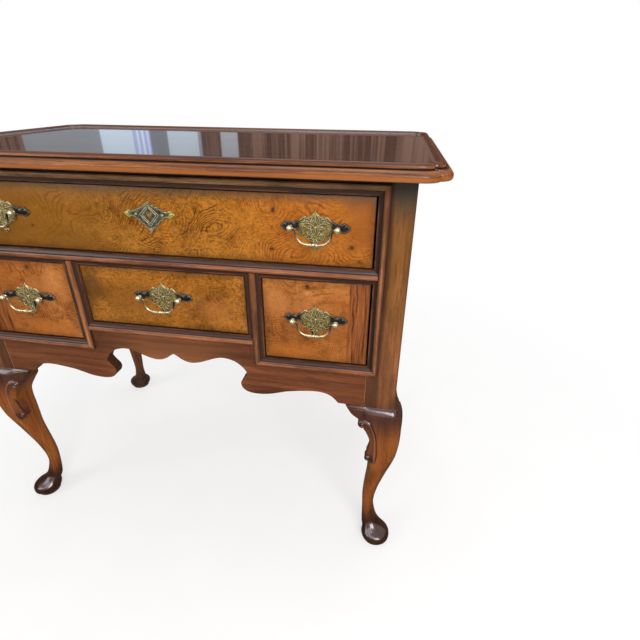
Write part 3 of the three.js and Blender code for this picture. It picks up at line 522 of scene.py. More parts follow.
def top_edge_paint():
    """The top's moulded edge: golden brown, with painted shade in its groove and underneath, and a painted
    highlight low down.
    """
    paint = Paint("top_edge", 0.34, 0.1, 0.2, 0.08)
    along = paint.warped(paint.place, 2.5, 0.012)
    cloud = paint.streaks(along, (1.4, 22, 22), 2.6, 4.0, 0.65)
    paint.tones(cloud, (0.32, 0.52, 0.72), ((118, 66, 34), (162, 96, 48), (196, 124, 66)))
    paint.darken(paint.streaks(along, (1.2, 160, 160), 1.4, 4.0, 0.7), 0.34, 0.58, 0.55)
    height = paint.grain("x", 0.5, 0.6)
    up = paint.math("MULTIPLY_ADD", paint.z, 1 / MM, -CASE_TOP)
    # Painted shade in the groove between the ovolo and the rim's bead.
    paint.shade(paint.off(up, 15.4), 1.9, 0.5, (34, 18, 13))
    # A painted highlight on the lower band of the edge.
    paint.shade(up, 7.8, 5.0, (160, 98, 54), 0.6)
    # Painted shade under the edge's lower rounding.
    paint.shade(up, 1.5, 0, (40, 22, 16))
    paint.shade(up, 17.5, 20.5, (72, 40, 28), 0.85)
    return paint.finish(height, 0.15)


# Drawer fronts.

def distance_from(paint, x, z, ellipse, unit=1):
    """Distance from an ellipse's place in millimetres, counted in its two half sizes times a unit."""
    dx, dz = [paint.math("DIVIDE", paint.math("SUBTRACT", at, middle * MM), half * unit)
              for at, middle, half in zip((x, z), ellipse[:2], ellipse[2:])]
    return paint.math("SQRT", paint.math("MULTIPLY_ADD", dx, dx, paint.times(dz, dz)))


def growth_lines(paint, value, pitch, low=0.25):
    """Thin lines, one in each turn of a value that counts pitch turns to 1."""
    return paint.between(paint.math("SINE", paint.times(value, 2 * pi * pitch)), low, 1.0)


def figured_front(name, tones, place, warp, lines, knots, patches, swirls=(), edge=0.55, extra=None,
                  mottled=0.52):
    """Figured walnut on a drawer front: clouds, contour-like growth lines, swirls, knots and dark edges.

    place is the front's middle and half sizes, warp the scale and reach of a broad distortion, and lines the
    density and strength of the growth lines. Each row starts with a place and an ellipse's two half sizes,
    which for a swirl are proportions. A swirl's row goes on with its step, reach and strength, a knot's with
    its strength, and a patch's with its tone and strength. Lengths are in millimetres.
    """
    paint = Paint(name, 0.3, 0.22, 0.25, 0.1)
    x, z = paint.x, paint.z
    flat = paint.vector(x, 0.0, z)
    broad = paint.warped(flat, warp[0], warp[1] * MM)
    moved = paint.warped(broad, 55.0, 0.0042, 3.0)
    paint.tones(paint.fac(moved, 9.0, 4.0, 0.62, 0.4), (0.3, 0.5, 0.7), tones)
    # Growth lines follow the levels of a smooth field, so that they close round like contours.
    pitch, depth = lines
    moved_x, _, moved_z = paint.xyz(moved)
    levels = paint.fac(broad, 7.5, 1.0, 0.4, 0.5)
    ripple = paint.math("MULTIPLY_ADD", paint.fac(flat, 90.0, 3.0, 0.6), 0.02, levels)
    patchy = paint.between(paint.fac(flat, 21.0, 3.0, 0.6), 0.36, 0.62)
    drawn = paint.times(growth_lines(paint, ripple, pitch), paint.times(patchy, depth))
    faded = paint.math("MULTIPLY_ADD", patchy, 0.65, 0.35)
    for *ellipse, step, reach, strength in swirls:
        far = distance_from(paint, moved_x, moved_z, ellipse)
        near = paint.between(far, reach * MM, 0.5 * reach * MM)
        ring = paint.times(growth_lines(paint, far, 1 / (step * MM), 0.1), paint.times(near, faded))
        drawn = paint.math("MAXIMUM", drawn, paint.times(ring, strength))
    paint.colour = paint.mix(drawn, paint.colour, paint.mix(1.0, paint.colour, srgb(120, 88, 62), "MULTIPLY"))
    fibre = paint.streaks(moved, (70, 1, 420), 1.0, 3.0, 0.6)
    fleck = paint.fac(flat, 380.0, 3.0, 0.75)
    blotch = paint.fac(flat, 34.0, 4.0, 0.65, 0.5)
    paint.darken(fibre, 0.3, 0.6, 0.66)
    paint.darken(fleck, 0.34, 0.48, 0.55)
    paint.darken(paint.fac(moved, 230.0, 3.0, 0.7, 0.6), 0.36, 0.56, mottled)
    paint.darken(blotch, 0.32, 0.58, 0.78)
    for *ellipse, tone, most in patches:
        far = distance_from(paint, x, z, ellipse, MM)
        paint.shade(paint.loose(far, paint.fac(flat, 30.0, 4.0, 0.6), 1.4), 1.1, 0.2, tone, most)
    if extra:
        extra(paint, flat)
    rough_x, _, rough_z = paint.xyz(paint.warped(flat, 160.0, 0.0016))
    for *ellipse, most in knots:
        far = distance_from(paint, rough_x, rough_z, ellipse, MM)
        paint.shade(far, 2.4, 0.9, (110, 58, 18), 0.4 * most)
        paint.shade(far, 1.15, 0.5, (50, 28, 14), most)
    # The front is darker along its edges, and darkest right at them.
    middle_x, middle_z, half_x, half_z = [size * MM for size in place]
    rim = paint.math("MAXIMUM", paint.math("SUBTRACT", paint.off(x, middle_x), half_x),
                     paint.math("SUBTRACT", paint.off(z, middle_z), half_z))
    paint.shade(paint.loose(rim, paint.fac(flat, 26.0, 4.0, 0.6), 0.024), -0.016, 0.003, (66, 42, 18), edge)
    paint.shade(rim, -0.0018, -0.0004, (38, 22, 14), 0.8)
    paint.set("Roughness", paint.between(blotch, 0.3, 0.7, 0.26, 0.4))
    return paint.finish(paint.math("ADD", fibre, fleck), 0.10)


def top_front_paint():
    def extra(paint, flat):
        drift = paint.loose(paint.x, paint.fac(flat, 6.0), 0.16)
        paint.shade(drift, 0.02, -0.2, (122, 78, 16), 0.78)
        paint.shade(drift, 0.06, 0.24, (192, 100, 26), 0.3)
        paint.shade(paint.loose(paint.z, paint.fac(flat, 16.0, 3.0), 0.03), 0.712, 0.728, (92, 62, 26), 0.42)

    return figured_front(
        "figured_top_drawer", ((158, 98, 22), (184, 116, 30), (208, 140, 48)), (0, 676, 349.4, 53.5),
        warp=(9.0, 20), lines=(54, 0.9),
        swirls=[(-74, 702, 0.7, 1.5, 4.2, 90, 0.8), (10, 684, 1.3, 1.0, 4.4, 75, 0.55),
                (-300, 672, 1.1, 1.0, 4.6, 90, 0.7)],
        knots=[(198, 704, 3.4, 5.0, 0.85), (195, 679, 1.8, 1.8, 0.6), (194, 644, 4.0, 2.4, 0.8),
               (129, 658, 1.4, 1.4, 0.9), (317, 653, 4.6, 4.2, 0.7), (329, 632, 3.4, 3.0, 0.6),
               (205, 668, 1.2, 1.2, 0.6), (225, 634, 1.6, 1.4, 0.6), (-212, 660, 2.8, 2.4, 0.7),
               (-330, 700, 2.0, 2.6, 0.6)],
        patches=[(-150, 640, 60, 26, (118, 74, 30), 0.45), (331, 722, 38, 22, (74, 44, 24), 0.75),
                 (20, 724, 120, 14, (104, 72, 28), 0.4), (336, 684, 38, 54, (118, 68, 22), 0.85)],
        extra=extra,
    )


def centre_front_paint():
    return figured_front(
        "figured_centre_drawer", ((148, 88, 22), (180, 112, 31), (208, 136, 52)), (0, 542, 145.5, 53.5),
        warp=(11.0, 14), lines=(44, 0.28),
        knots=[(22, 588, 1.8, 1.6, 0.9), (60, 520, 1.2, 1.2, 0.7), (-60, 505, 1.4, 1.0, 0.6)],
        patches=[(-130, 556, 34, 52, (70, 48, 18), 0.75), (92, 528, 44, 20, (150, 90, 44), 0.4),
                 (110, 520, 50, 40, (196, 122, 56), 0.15), (-70, 536, 70, 50, (118, 72, 20), 0.55)],
    )


# How far from the middle the strip at the outer end of a side drawer's front starts.
STRIP_START = 305.5


def side_front_paint(name, side, shift):
    def extra(paint, flat):
        # A strip of straight, darker wood makes the outer end of the front.
        tilt = paint.math("MULTIPLY_ADD", paint.z, -0.02 * side, paint.x)
        strip = paint.past(tilt, side * STRIP_START, side)
        line = paint.streaks(paint.warped(flat, 22.0, 0.006), (300, 1, 14), 1.0, 3.0, 0.6, 0.3)
        paint.shade(paint.loose(paint.times(paint.x, side), line, 0.02), 0.262, 0.31, (150, 84, 30), 0.4)
        front = paint.colour
        paint.tones(line, (0.36, 0.5, 0.7), ((70, 36, 16), (132, 73, 32), (160, 92, 42)))
        paint.colour = paint.mix(strip, front, paint.colour)

    return figured_front(
        name, ((154, 83, 27), (182, 108, 43), (208, 135, 68)), (side * 262.1, 521.7, 87.3, 73.7),
        warp=(9.0, 14), lines=(34, 0.5),
        swirls=[(side * 190 + shift, 440, 1.0, 1.0, 3.4, 170, 0.65)],
        knots=[(side * 249, 585, 4.6, 4.4, 0.75), (side * 258, 577, 1.0, 1.0, 0.7),
               (side * 236, 470, 1.6, 1.2, 0.5), (side * 238, 560, 1.2, 1.0, 0.5)],
        patches=[(side * 196, 556, 30, 44, (214, 142, 80), 0.3),
                 (side * 240, 548, 40, 30, (176, 112, 66), 0.3),
                 (side * 230, 465, 60, 22, (172, 98, 32), 0.6)],
        edge=0.35, extra=extra, mottled=0.7,
    )


# Case and leg materials.

def apron_paint():
    paint, height = plain_walnut("apron_walnut", (156, 92, 52), (126, 70, 40), (98, 54, 34), "x")
    across = paint.off(paint.x)
    paint.shade(across, 0.16, 0.04, (168, 106, 60), 0.5)
    band = paint.streaks(paint.warped(paint.place, 4.0, 0.01), (1.6, 60, 60), 2.2, 4.0, 0.65)
    paint.darken(band, 0.36, 0.58, 0.66)
    paint.shade(paint.x, -0.11, -0.17, (74, 42, 26), 0.4)
    # Darker just under the mouldings, as glaze and painted shade.
    paint.shade(paint.loose(paint.z, paint.fac(paint.place, 26.0), 0.02), 0.412, 0.436, (62, 36, 26), 0.4)
    # The sawn edge carries painted shade, and its rounded corner is paler.
    facing = paint.off(paint.xyz(paint.add("TexCoord").outputs["Normal"])[1])
    paint.shade(facing, 0.7, 0.3, (46, 33, 30), 0.82)
    paint.shade(paint.off(facing, 0.72), 0.2, 0.04, (170, 118, 84), 0.5)
    chips = paint.between(paint.streaks(paint.place, (1, 1, 60), 8.0, 3.0, 0.7), 0.4, 0.6, 0.1, 0.8)
    paint.shade(across, 0.3506, 0.3514, (196, 150, 108), chips)
    return paint.finish(height, 0.12)


def case_paint(name, axis):
    paint, height = plain_walnut(name, (132, 82, 48), (106, 62, 38), (80, 46, 30), axis)
    return paint.finish(height, 0.12)


def moulding_paint(name, axis, bead, cove):
    """Dark glaze and painted shade in the coves, a painted highlight on the bead's crest and paler lips, told
    apart by how far the wood stands out.
    """
    paint = Paint(name, 0.3, 0.22, 0.2, 0.08)
    along = paint.grained(axis)
    cloud = paint.streaks(along, (1.0, 5, 5), 9.0, 4.0, 0.65)
    lit = srgb(*bead)
    paint.colour = paint.ramp(cloud, [(place, (*(share * c for c in lit[:3]), 1))
                                      for place, share in ((0.34, 0.55), (0.54, 1), (0.7, 1.35))])
    height = paint.grain(axis, 0.4, 0.4)
    out = paint.math("MULTIPLY_ADD", paint.y, -1 / MM, FRONT_Y)
    loose = paint.loose(out, cloud, 1.8)
    # Dark glaze and painted shade in the coves.
    paint.shade(loose, COVE_FOOT + 2.4, COVE_FOOT + 0.5, cove)
    wear_and_highlight = paint.streaks(along, (1.0, 9, 9), 14.0, 4.0, 0.7)
    bead_highlight = paint.between(wear_and_highlight, 0.42, 0.66, 0.05, 0.4)
    lip_paleness = paint.between(wear_and_highlight, 0.42, 0.62, 0.0, 0.6)
    # A painted highlight along the bead's crest, broken in streaks; the lips beside it are paler.
    paint.shade(out, 6.1, 6.48, (190, 134, 98), bead_highlight)
    paint.shade(out, 1.5, 1.05, (128, 74, 46), lip_paleness)
    paint.set("Roughness", paint.between(loose, COVE_FOOT, COVE_FOOT + 2.4, 0.42, 0.27))
    return paint.finish(height, 0.12)


def leg_paint():
    """The post's upright grain, with painted shade at its top under the top's overhang and beside the
    mouldings, and the polished leg below, with painted shade on the rear legs.
    """
    paint = Paint("leg_walnut", 0.3, 0.2, 0.9, 0.07)
    x, y, z = paint.x, paint.y, paint.z
    along = paint.warped(paint.grained("z"), 4.0, 0.008)
    cloud = paint.streaks(along, (1.3, 16, 16), 2.4, 4.0, 0.6)
    band = paint.streaks(along, (1.0, 90, 30), 1.6, 4.0, 0.65)
    paint.tones(cloud, (0.3, 0.5, 0.72), ((98, 62, 30), (142, 92, 44), (178, 118, 58)))
    paint.shade(z, 0.60, 0.44, (186, 114, 72), 0.6)
    paint.darken(band, 0.34, 0.56, 0.6)
    height = paint.grain("z", 0.42, 0.4)
    # Painted shade on the post's top, under the top's overhang.
    paint.shade(paint.loose(z, cloud, 0.06), 0.675, 0.745, (54, 55, 51), 0.88)
    # Painted shade on the post's front beside the stile moulding, and a darker band along its outer corner.
    side = paint.loose(paint.off(x), band, 0.004)
    for low, high, tone, most in ((0.3775, 0.3695, (58, 36, 26), 0.75), (0.4005, 0.4045, (70, 42, 24), 0.5)):
        paint.shade(side, low, high, tone, paint.between(y, -0.214, -0.219, 0.0, most))
    paint.shade(z, 0.39, 0.362, (74, 42, 30), 0.45)
    post = paint.colour
    paint.tones(cloud, (0.3, 0.5, 0.72), ((112, 58, 22), (148, 82, 31), (170, 100, 42)))
    paint.grain("z", 0.26, 0.25)
    reach = paint.loose(z, cloud, 0.05)
    paint.shade(reach, 0.29, 0.345, (66, 40, 36), 0.9)
    paint.shade(reach, 0.1, 0.04, (46, 27, 22), 0.92)
    # Painted shade on the rear legs.
    paint.shade(y, 0.0, 0.15, (78, 58, 52), 0.5)
    paint.darken(paint.streaks(along, (0.7, 40, 40), 2.0, 4.0, 0.6), 0.36, 0.58, 0.62)
    paint.colour = paint.mix(paint.past(z, LEG_TOP, 0.1), paint.colour, post)
    return paint.finish(height, 0.1)


def pointiness(paint):
    return paint.add("NewGeometry").outputs["Pointiness"]


def carved_paint():
    """The scroll on the knee, with a painted highlight on its ridge and with dark glaze and painted shade at
    its edges.
    """
    paint, height = plain_walnut("carved_walnut", (150, 88, 48), (126, 70, 38), (92, 52, 30), "z", 0.28, 1.0)
    across = paint.add("Attribute", attribute_name="across").outputs["Fac"]
    paint.shade(paint.z, 0.29, 0.322, (70, 42, 34), 0.8)
    paint.shade(paint.z, 0.262, 0.245, (54, 32, 24), 0.8)
    # Dark glaze and painted shade along the free edge.
    paint.shade(across, 0.12, 0.0, (52, 30, 22))
    # A painted highlight along the ridge.
    paint.shade(paint.off(across, 0.76), 0.1, 0.0, (166, 104, 78), 0.6)
    # A painted shadow where the ribbon steps down to the leg.
    paint.shade(across, 0.85, 0.93, (38, 23, 17))
    # Painted shade in the hollows.
    paint.shade(pointiness(paint), 0.49, 0.44, (28, 17, 14))
    return paint.finish(height, 0.08)


def partition_paint():
    """Walnut where the board shows at the front, and the paler inside wood behind that."""
    paint, height = plain_walnut("partition_wood", (132, 80, 50), (106, 60, 38), (82, 46, 32), "z")
    front = paint.colour
    paint.colour = srgb(168, 132, 88)
    paint.grain("y", 0.3, 0.3)
    paint.colour = paint.mix(paint.past(paint.y, FRONT_Y + RAIL_DEPTH), front, paint.colour)
    return paint.finish(height, 0.15)


def secondary_paint(name, axis):
    paint = Paint(name, 0.7, 0.25)
    along = paint.warped(paint.grained(axis), 3.0, 0.01)
    cloud = paint.streaks(along, (1.0, 14, 14), 4.0, 4.0, 0.6)
    paint.tones(cloud, (0.3, 0.5, 0.72), ((138, 104, 64), (172, 136, 90), (190, 158, 110)))
    paint.darken(paint.streaks(along, (0.6, 1, 46), 1.6, 3.0, 0.6), 0.38, 0.54, 0.74)
    return paint.finish(paint.grain(axis, 0.25, 0.4), 0.25, 0.0003)


def brass_paint(name, tones, dark, reach, rough, metal, wear_and_highlight=0.85, axis=X):
    """Aged brass with a dark tone towards its ends, and bright ridges that are rubbed and carry a painted
    highlight.

    The ends darken along an axis between two places in millimetres, which reach gives.
    """
    paint = Paint(name, rough, 0.5, metal=metal)
    wear = paint.fac(paint.place, 300.0, 4.0, 0.65)
    paint.tones(wear, (0.32, 0.52, 0.68), tones)
    side = paint.loose(paint.off(paint.x) if axis == X else paint.y, wear, 0.006)
    ridge = pointiness(paint)
    paint.shade(ridge, 0.495, 0.44, (36, 31, 26), 0.92)
    tip = paint.between(side, reach[0] * MM, reach[1] * MM)
    paint.lay(paint.times(tip, 0.95), dark)
    # Rubbed wear and a painted highlight brighten the ridges, less towards the dark ends.
    dulled = paint.math("MULTIPLY_ADD", tip, -0.5, 1.0)
    paint.lay(paint.times(paint.between(ridge, 0.53, 0.60, 0.0, wear_and_highlight), dulled), (236, 224, 184))
    paint.set("Roughness", paint.between(wear, 0.3, 0.7, rough - 0.08, rough + 0.14))
    return paint.finish(wear, 0.25)


TOP_FIELD = top_field_paint()
TOP_EDGE = top_edge_paint()
APRON_WALNUT = apron_paint()
CASE_X = case_paint("case_walnut_across", "x")
CASE_Z = case_paint("case_walnut_upright", "z")
MOULDING_DARK = moulding_paint("moulding_top", "x", (142, 102, 68), (60, 44, 34))
MOULDING_X = moulding_paint("moulding_across", "x", (138, 82, 53), (56, 35, 27))
MOULDING_INNER = moulding_paint("moulding_inner", "z", (144, 88, 55), (60, 39, 29))
MOULDING_Z = moulding_paint("moulding_upright", "z", (112, 67, 42), (46, 30, 22))
LEG_WALNUT = leg_paint()
CARVED_WALNUT = carved_paint()
PARTITION_WOOD = partition_paint()
SECONDARY_X = secondary_paint("secondary_wood_across", "x")
SECONDARY_Y = secondary_paint("secondary_wood_deep", "y")
PLATE_BRASS = brass_paint("plate_brass", ((92, 76, 34), (162, 142, 70), (214, 194, 118)), (30, 32, 42),
                          (21, 27), 0.5, 0.8, 0.6)
PATINA = brass_paint("patina", ((28, 25, 18), (46, 40, 26), (78, 68, 42)), (24, 25, 30),
                     (21, 27), 0.55, 0.6, 0.1)
BAIL_BRASS = brass_paint("bail_brass", ((150, 138, 108), (206, 192, 156), (238, 228, 200)), (34, 31, 30),
                         (23.5, 27.5), 0.36, 0.85)
POST_BRASS = brass_paint("post_brass", ((196, 184, 142), (226, 214, 174), (244, 236, 206)), (30, 30, 36),
                         (-15.0, -13.0), 0.4, 0.8, 0.35, Y)
ESCUTCHEON_BRASS = brass_paint("escutcheon_brass", ((52, 54, 46), (98, 99, 80), (142, 142, 114)),
                               (176, 174, 80), (29, 36), 0.5, 0.8, 0.8)


# The top.

# How far in from the outline, and how far above the case, in runs that are smooth within themselves.
TOP_RUNS = [
    [(4.5, 0), (2.2, 0.35), (0.9, 1.7), (0.1, 4.2), (0, 6.4)],
    [(0, 6.4), (0.4, 8.4), (1.6, 10.5), (3.4, 12.3), (5.8, 13.8), (8.2, 14.7), (10.2, 15)],
    [(10.2, 15), (10.8, 14.5), (11.4, 15.1)],
    [(11.4, 15.1), (11.3, 17.4), (12, 19.8), (13.4, 21.8), (15.2, 22.9), (16.8, 23), (18.6, 22.4), (20.2, 21),
     (21.2, 20)],
    [(21.2, 20), (22.4, 18.9), (24.6, 18.1), (27.2, 17.8), (30, 17.8)],
]
# How much shorter and shallower the shaped corners get with each millimetre further in.
LENGTH_LOSS = 0.55
CUSP_LOSS = 0.3
CORNER_STEPS = 18
# Faces further in and lower than this are the sunk field.
FIELD_INSET = 21
FIELD_BELOW = 776.5


def top_ring(distance, height):
    half_x, half_y = TOP_WIDTH / 2 - distance, TOP_DEPTH / 2 - distance
    length = CORNER_LENGTH - LENGTH_LOSS * distance
    cusp = CORNER_CUSP - CUSP_LOSS * distance
    angles = [-pi / 2 * (1 - step / CORNER_STEPS) for step in range(CORNER_STEPS + 1)]
    quarter = [(half_x - length + (length - cusp) * cos(a), -half_y + cusp + cusp * sin(a))
               for a in angles]
    quarter += [(half_x - cusp + cusp * cos(a), -half_y + length + (length - cusp) * sin(a))
                for a in angles[1:]]
    right = quarter + [(x, -y) for x, y in reversed(quarter)]
    return [(x, y, height) for x, y in mirrored(right)]


def make_top():
    profile = []
    for run in TOP_RUNS:
        profile += catmull(run, steps=4)[1 if profile else 0:]
    shape = bmesh.new()
    add_loft(shape, [top_ring(distance, min(CASE_TOP + up, OVERALL_HEIGHT)) for distance, up in profile])
    board = from_bmesh("top_board.moulded", shape, angle=38)
    piece = finished(board, TOP_EDGE, "top_board")
    piece.data.materials.append(TOP_FIELD)
    half_x, half_y = (TOP_WIDTH / 2 - FIELD_INSET) * MM, (TOP_DEPTH / 2 - FIELD_INSET) * MM
    for face in piece.data.polygons:
        inside = abs(face.center.x) < half_x and abs(face.center.y) < half_y
        if inside and face.normal.z > 0 and face.center.z < FIELD_BELOW * MM:
            face.material_index = 1


make_top()


# Mouldings.

# Beside the bead a small groove begins and ends this far from the cove, and is this deep.
QUIRK_START = 0.1
QUIRK_END = 0.45
QUIRK_DEPTH = 0.5
# How far out the bead of an edge moulding ends beside the case.
BEAD_FOOT = 1.4


def moulding_section(bead_width, both_sides=False):
    """Distance from the opening's edge, and how far the moulding stands out."""
    steps, bead_steps = 10, 20
    quirk = COVE_FOOT - QUIRK_DEPTH
    cove = [(COVE_WIDTH * i / steps, COVE_LIP + (COVE_FOOT - COVE_LIP) * (i / steps) ** 2)
            for i in range(steps + 1)]
    points = [(0, GLUE_GAP), *cove, (COVE_WIDTH + QUIRK_START, quirk), (COVE_WIDTH + QUIRK_END, quirk)]
    for i in range(1, bead_steps):
        angle = pi * (1 - i / bead_steps)
        across = COVE_WIDTH + QUIRK_END + (bead_width - 2 * QUIRK_END) / 2 * (1 + cos(angle))
        points.append((across, COVE_FOOT + (BEAD_PROUD - COVE_FOOT) * sin(angle)))
    far = COVE_WIDTH + bead_width
    if not both_sides:
        return points + [(far - QUIRK_END, BEAD_FOOT), (far, COVE_LIP), (far, GLUE_GAP)]
    points += [(far - QUIRK_END, quirk), (far - QUIRK_START, quirk)]
    points += [(far + COVE_WIDTH - across, out) for across, out in reversed(cove)]
    return points + [(far + COVE_WIDTH, GLUE_GAP)]


def across_run(section, x0, x1, edge_z, direction):
    return prism([(FRONT_Y - out, edge_z + direction * across) for across, out in section], X, x0, x1)


def upright_run(section, edge_x, side, z0, z1):
    return prism([(side * (edge_x + across), FRONT_Y - out) for across, out in section], Z, z0, z1)


def trimmed(name, run, outline, side=1):
    """A moulding cut to its outline from the front, with mitred ends."""
    piece = from_bmesh(name, run)
    cut = inset([(side * x, z) for x, z in outline], GLUE_GAP / 2)
    tool = from_bmesh(f"{name}.tool", prism(cut, Y, FRONT_Y - BEAD_PROUD - OVERRUN, FRONT_Y + OVERRUN))
    modifier = piece.modifiers.new("cut", "BOOLEAN")
    modifier.operation = "INTERSECT"
    modifier.solver = "EXACT"
    modifier.object = tool
    bpy.context.view_layer.update()
    graph = bpy.context.evaluated_depsgraph_get()
    mesh = bpy.data.meshes.new_from_object(piece.evaluated_get(graph))
    piece.modifiers.clear()
    piece.data = mesh
    bpy.data.objects.remove(tool)
    return smooth(piece)


def add_edge_moulding(node, run, material, outline, side=1):
    finished(trimmed(f"{node}.run", run, outline, side), material, node)


def make_edge_mouldings():
    section = moulding_section(BEAD_WIDTH)
    add_edge_moulding(
        "top_moulding", across_run(section, -STILE_OUTER, STILE_OUTER, TOP_OPENING_TOP, 1), MOULDING_DARK,
        [(-OPENING_HALF, TOP_OPENING_TOP), (OPENING_HALF, TOP_OPENING_TOP), (STILE_OUTER, STILE_TOP),
         (-STILE_OUTER, STILE_TOP)],
    )
    for word, side in SIDES:
        run = upright_run(section, OPENING_HALF, side, STILE_BOTTOM, STILE_TOP)
        add_edge_moulding(
            f"stile_moulding_{word}", run, MOULDING_Z,
            [(OPENING_HALF, TOP_OPENING_TOP), (OPENING_HALF, TOP_OPENING_BOTTOM),
             (OPENING_HALF + COVE_WIDTH, TOP_OPENING_BOTTOM - COVE_WIDTH),
             (OPENING_HALF + COVE_WIDTH, LOWER_OPENING_TOP + COVE_WIDTH), (OPENING_HALF, LOWER_OPENING_TOP),
             (OPENING_HALF, SIDE_OPENING_BOTTOM), (STILE_OUTER, STILE_BOTTOM), (STILE_OUTER, STILE_TOP)],
            side,
        )
        ends = sorted((side * CENTRE_HALF, side * STILE_OUTER))
        add_edge_moulding(
            f"side_bottom_moulding_{word}", across_run(section, *ends, SIDE_OPENING_BOTTOM, -1), MOULDING_X,
            [(DIVIDER_OUTER, SIDE_OPENING_BOTTOM), (OPENING_HALF, SIDE_OPENING_BOTTOM),
             (STILE_OUTER, STILE_BOTTOM), (CENTRE_HALF + COVE_WIDTH, STILE_BOTTOM)],
            side,
        )
    reach = CENTRE_HALF + COVE_WIDTH
    low_edge = CENTRE_OPENING_BOTTOM - EDGE_WIDTH
    add_edge_moulding(
        "centre_bottom_moulding", across_run(section, -reach, reach, CENTRE_OPENING_BOTTOM, -1), MOULDING_X,
        [(-CENTRE_HALF, CENTRE_OPENING_BOTTOM), (CENTRE_HALF, CENTRE_OPENING_BOTTOM),
         (reach, CENTRE_OPENING_BOTTOM - COVE_WIDTH), (reach, low_edge), (-reach, low_edge),
         (-reach, CENTRE_OPENING_BOTTOM - COVE_WIDTH)],
    )


make_edge_mouldings()


def make_middle_rail():
    height = TOP_OPENING_BOTTOM - LOWER_OPENING_TOP
    section = moulding_section(height - 2 * COVE_WIDTH, True)
    reach, low = OPENING_HALF + COVE_WIDTH, LOWER_OPENING_TOP + COVE_WIDTH
    outline = mirrored([
        (OPENING_HALF, TOP_OPENING_BOTTOM), (reach, TOP_OPENING_BOTTOM - COVE_WIDTH), (reach, low),
        (OPENING_HALF, LOWER_OPENING_TOP), (DIVIDER_OUTER, LOWER_OPENING_TOP),
        (DIVIDER_OUTER - COVE_WIDTH, low), (CENTRE_HALF + COVE_WIDTH, low), (CENTRE_HALF, LOWER_OPENING_TOP),
    ])
    face = trimmed("middle_rail.face", across_run(section, -reach, reach, TOP_OPENING_BOTTOM, -1), outline)
    finished(face, MOULDING_X)
    shape = block(-OPENING_HALF + GLUE_GAP, OPENING_HALF - GLUE_GAP, FRONT_Y + FACE_LAP, FRONT_Y + RAIL_DEPTH,
                  LOWER_OPENING_TOP, TOP_OPENING_BOTTOM)
    bevel_sharp(shape, RAIL_EDGE)
    finished(from_bmesh("middle_rail.board", shape), CASE_X, "middle_rail")


make_middle_rail()


def make_partitions():
    section = moulding_section(DIVIDER_OUTER - CENTRE_HALF - 2 * COVE_WIDTH, True)
    middle, inner = (CENTRE_HALF + DIVIDER_OUTER) / 2, CENTRE_HALF + COVE_WIDTH
    back = BACK_PANEL_FRONT - GLUE_GAP
    behind = FRONT_Y + APRON_THICKNESS + GLUE_GAP
    top, high = LOWER_OPENING_TOP - GLUE_GAP, LOWER_OPENING_TOP + COVE_WIDTH
    blocks = [
        (CENTRE_HALF, DIVIDER_OUTER, FRONT_Y + FACE_LAP, FRONT_Y + RAIL_DEPTH,
         SIDE_OPENING_BOTTOM + GLUE_GAP, top),
        (middle - PARTITION_WEB / 2, middle + PARTITION_WEB / 2, behind, back,
         SIDE_OPENING_BOTTOM - LEDGE_THICKNESS, top),
        (CENTRE_HALF - LEDGE_WIDTH, middle, behind, back, CENTRE_OPENING_BOTTOM - LEDGE_THICKNESS,
         CENTRE_OPENING_BOTTOM),
        (middle, DIVIDER_OUTER + LEDGE_WIDTH, behind, back, SIDE_OPENING_BOTTOM - LEDGE_THICKNESS,
         SIDE_OPENING_BOTTOM),
    ]
    for word, side in SIDES:
        face = trimmed(
            f"partition_{word}.face", upright_run(section, CENTRE_HALF, side, STILE_BOTTOM, high),
            [(CENTRE_HALF, LOWER_OPENING_TOP), (inner, high), (DIVIDER_OUTER - COVE_WIDTH, high),
             (DIVIDER_OUTER, LOWER_OPENING_TOP), (DIVIDER_OUTER, SIDE_OPENING_BOTTOM), (inner, STILE_BOTTOM),
             (inner, CENTRE_OPENING_BOTTOM - COVE_WIDTH), (CENTRE_HALF, CENTRE_OPENING_BOTTOM)],
            side,
        )
        finished(face, MOULDING_INNER)
        shape = bmesh.new()
        for x0, x1, *rest in blocks:
            block(*sorted((side * x0, side * x1)), *rest, shape)
        bevel_sharp(shape, BOARD_EDGE)
        web = from_bmesh(f"partition_{word}.web", shape)
        finished(web, PARTITION_WOOD, f"partition_{word}")


make_partitions()


# Apron and boards.

# Half of the apron's lower outline, as shares of the opening's half width and of the apron's height.
APRON_START = (0, 0.845)
APRON_RUNS = [
    [(0.021, 0.79), (0.039, 0.735), (0.066, 0.684), (0.097, 0.665), (0.13, 0.687), (0.159, 0.726),
     (0.193, 0.782), (0.222, 0.828), (0.245, 0.855), (0.27, 0.864), (0.295, 0.852), (0.319, 0.824),
     (0.34, 0.782), (0.358, 0.725), (0.375, 0.65), (0.385, 0.59), (0.392, 0.525)],
    [(0.377, 0.43), (0.361, 0.355), (0.3535, 0.28), (0.356, 0.2), (0.368, 0.125), (0.39, 0.068),
     (0.42, 0.043), (0.45, 0.04), (0.488, 0.055), (0.525, 0.088), (0.563, 0.135), (0.612, 0.19),
     (0.717, 0.252), (0.784, 0.246), (0.83, 0.17), (0.865, 0.02)],
]
# The side panel's arch leaves this share of the panel's depth straight at each end.
ARCH_MARGIN = 0.1
ARCH_STEPS = 48


def add_sawn_board(node, outline, axis, low, high, width, material):
    """A board sawn to an outline, with only its sawn corners rounded."""
    shape = prism(outline, axis, low, high)
    bevel_sharp(shape, width, segments=3, least=50)
    finished(from_bmesh(f"{node}.board", shape, angle=40), material, node)


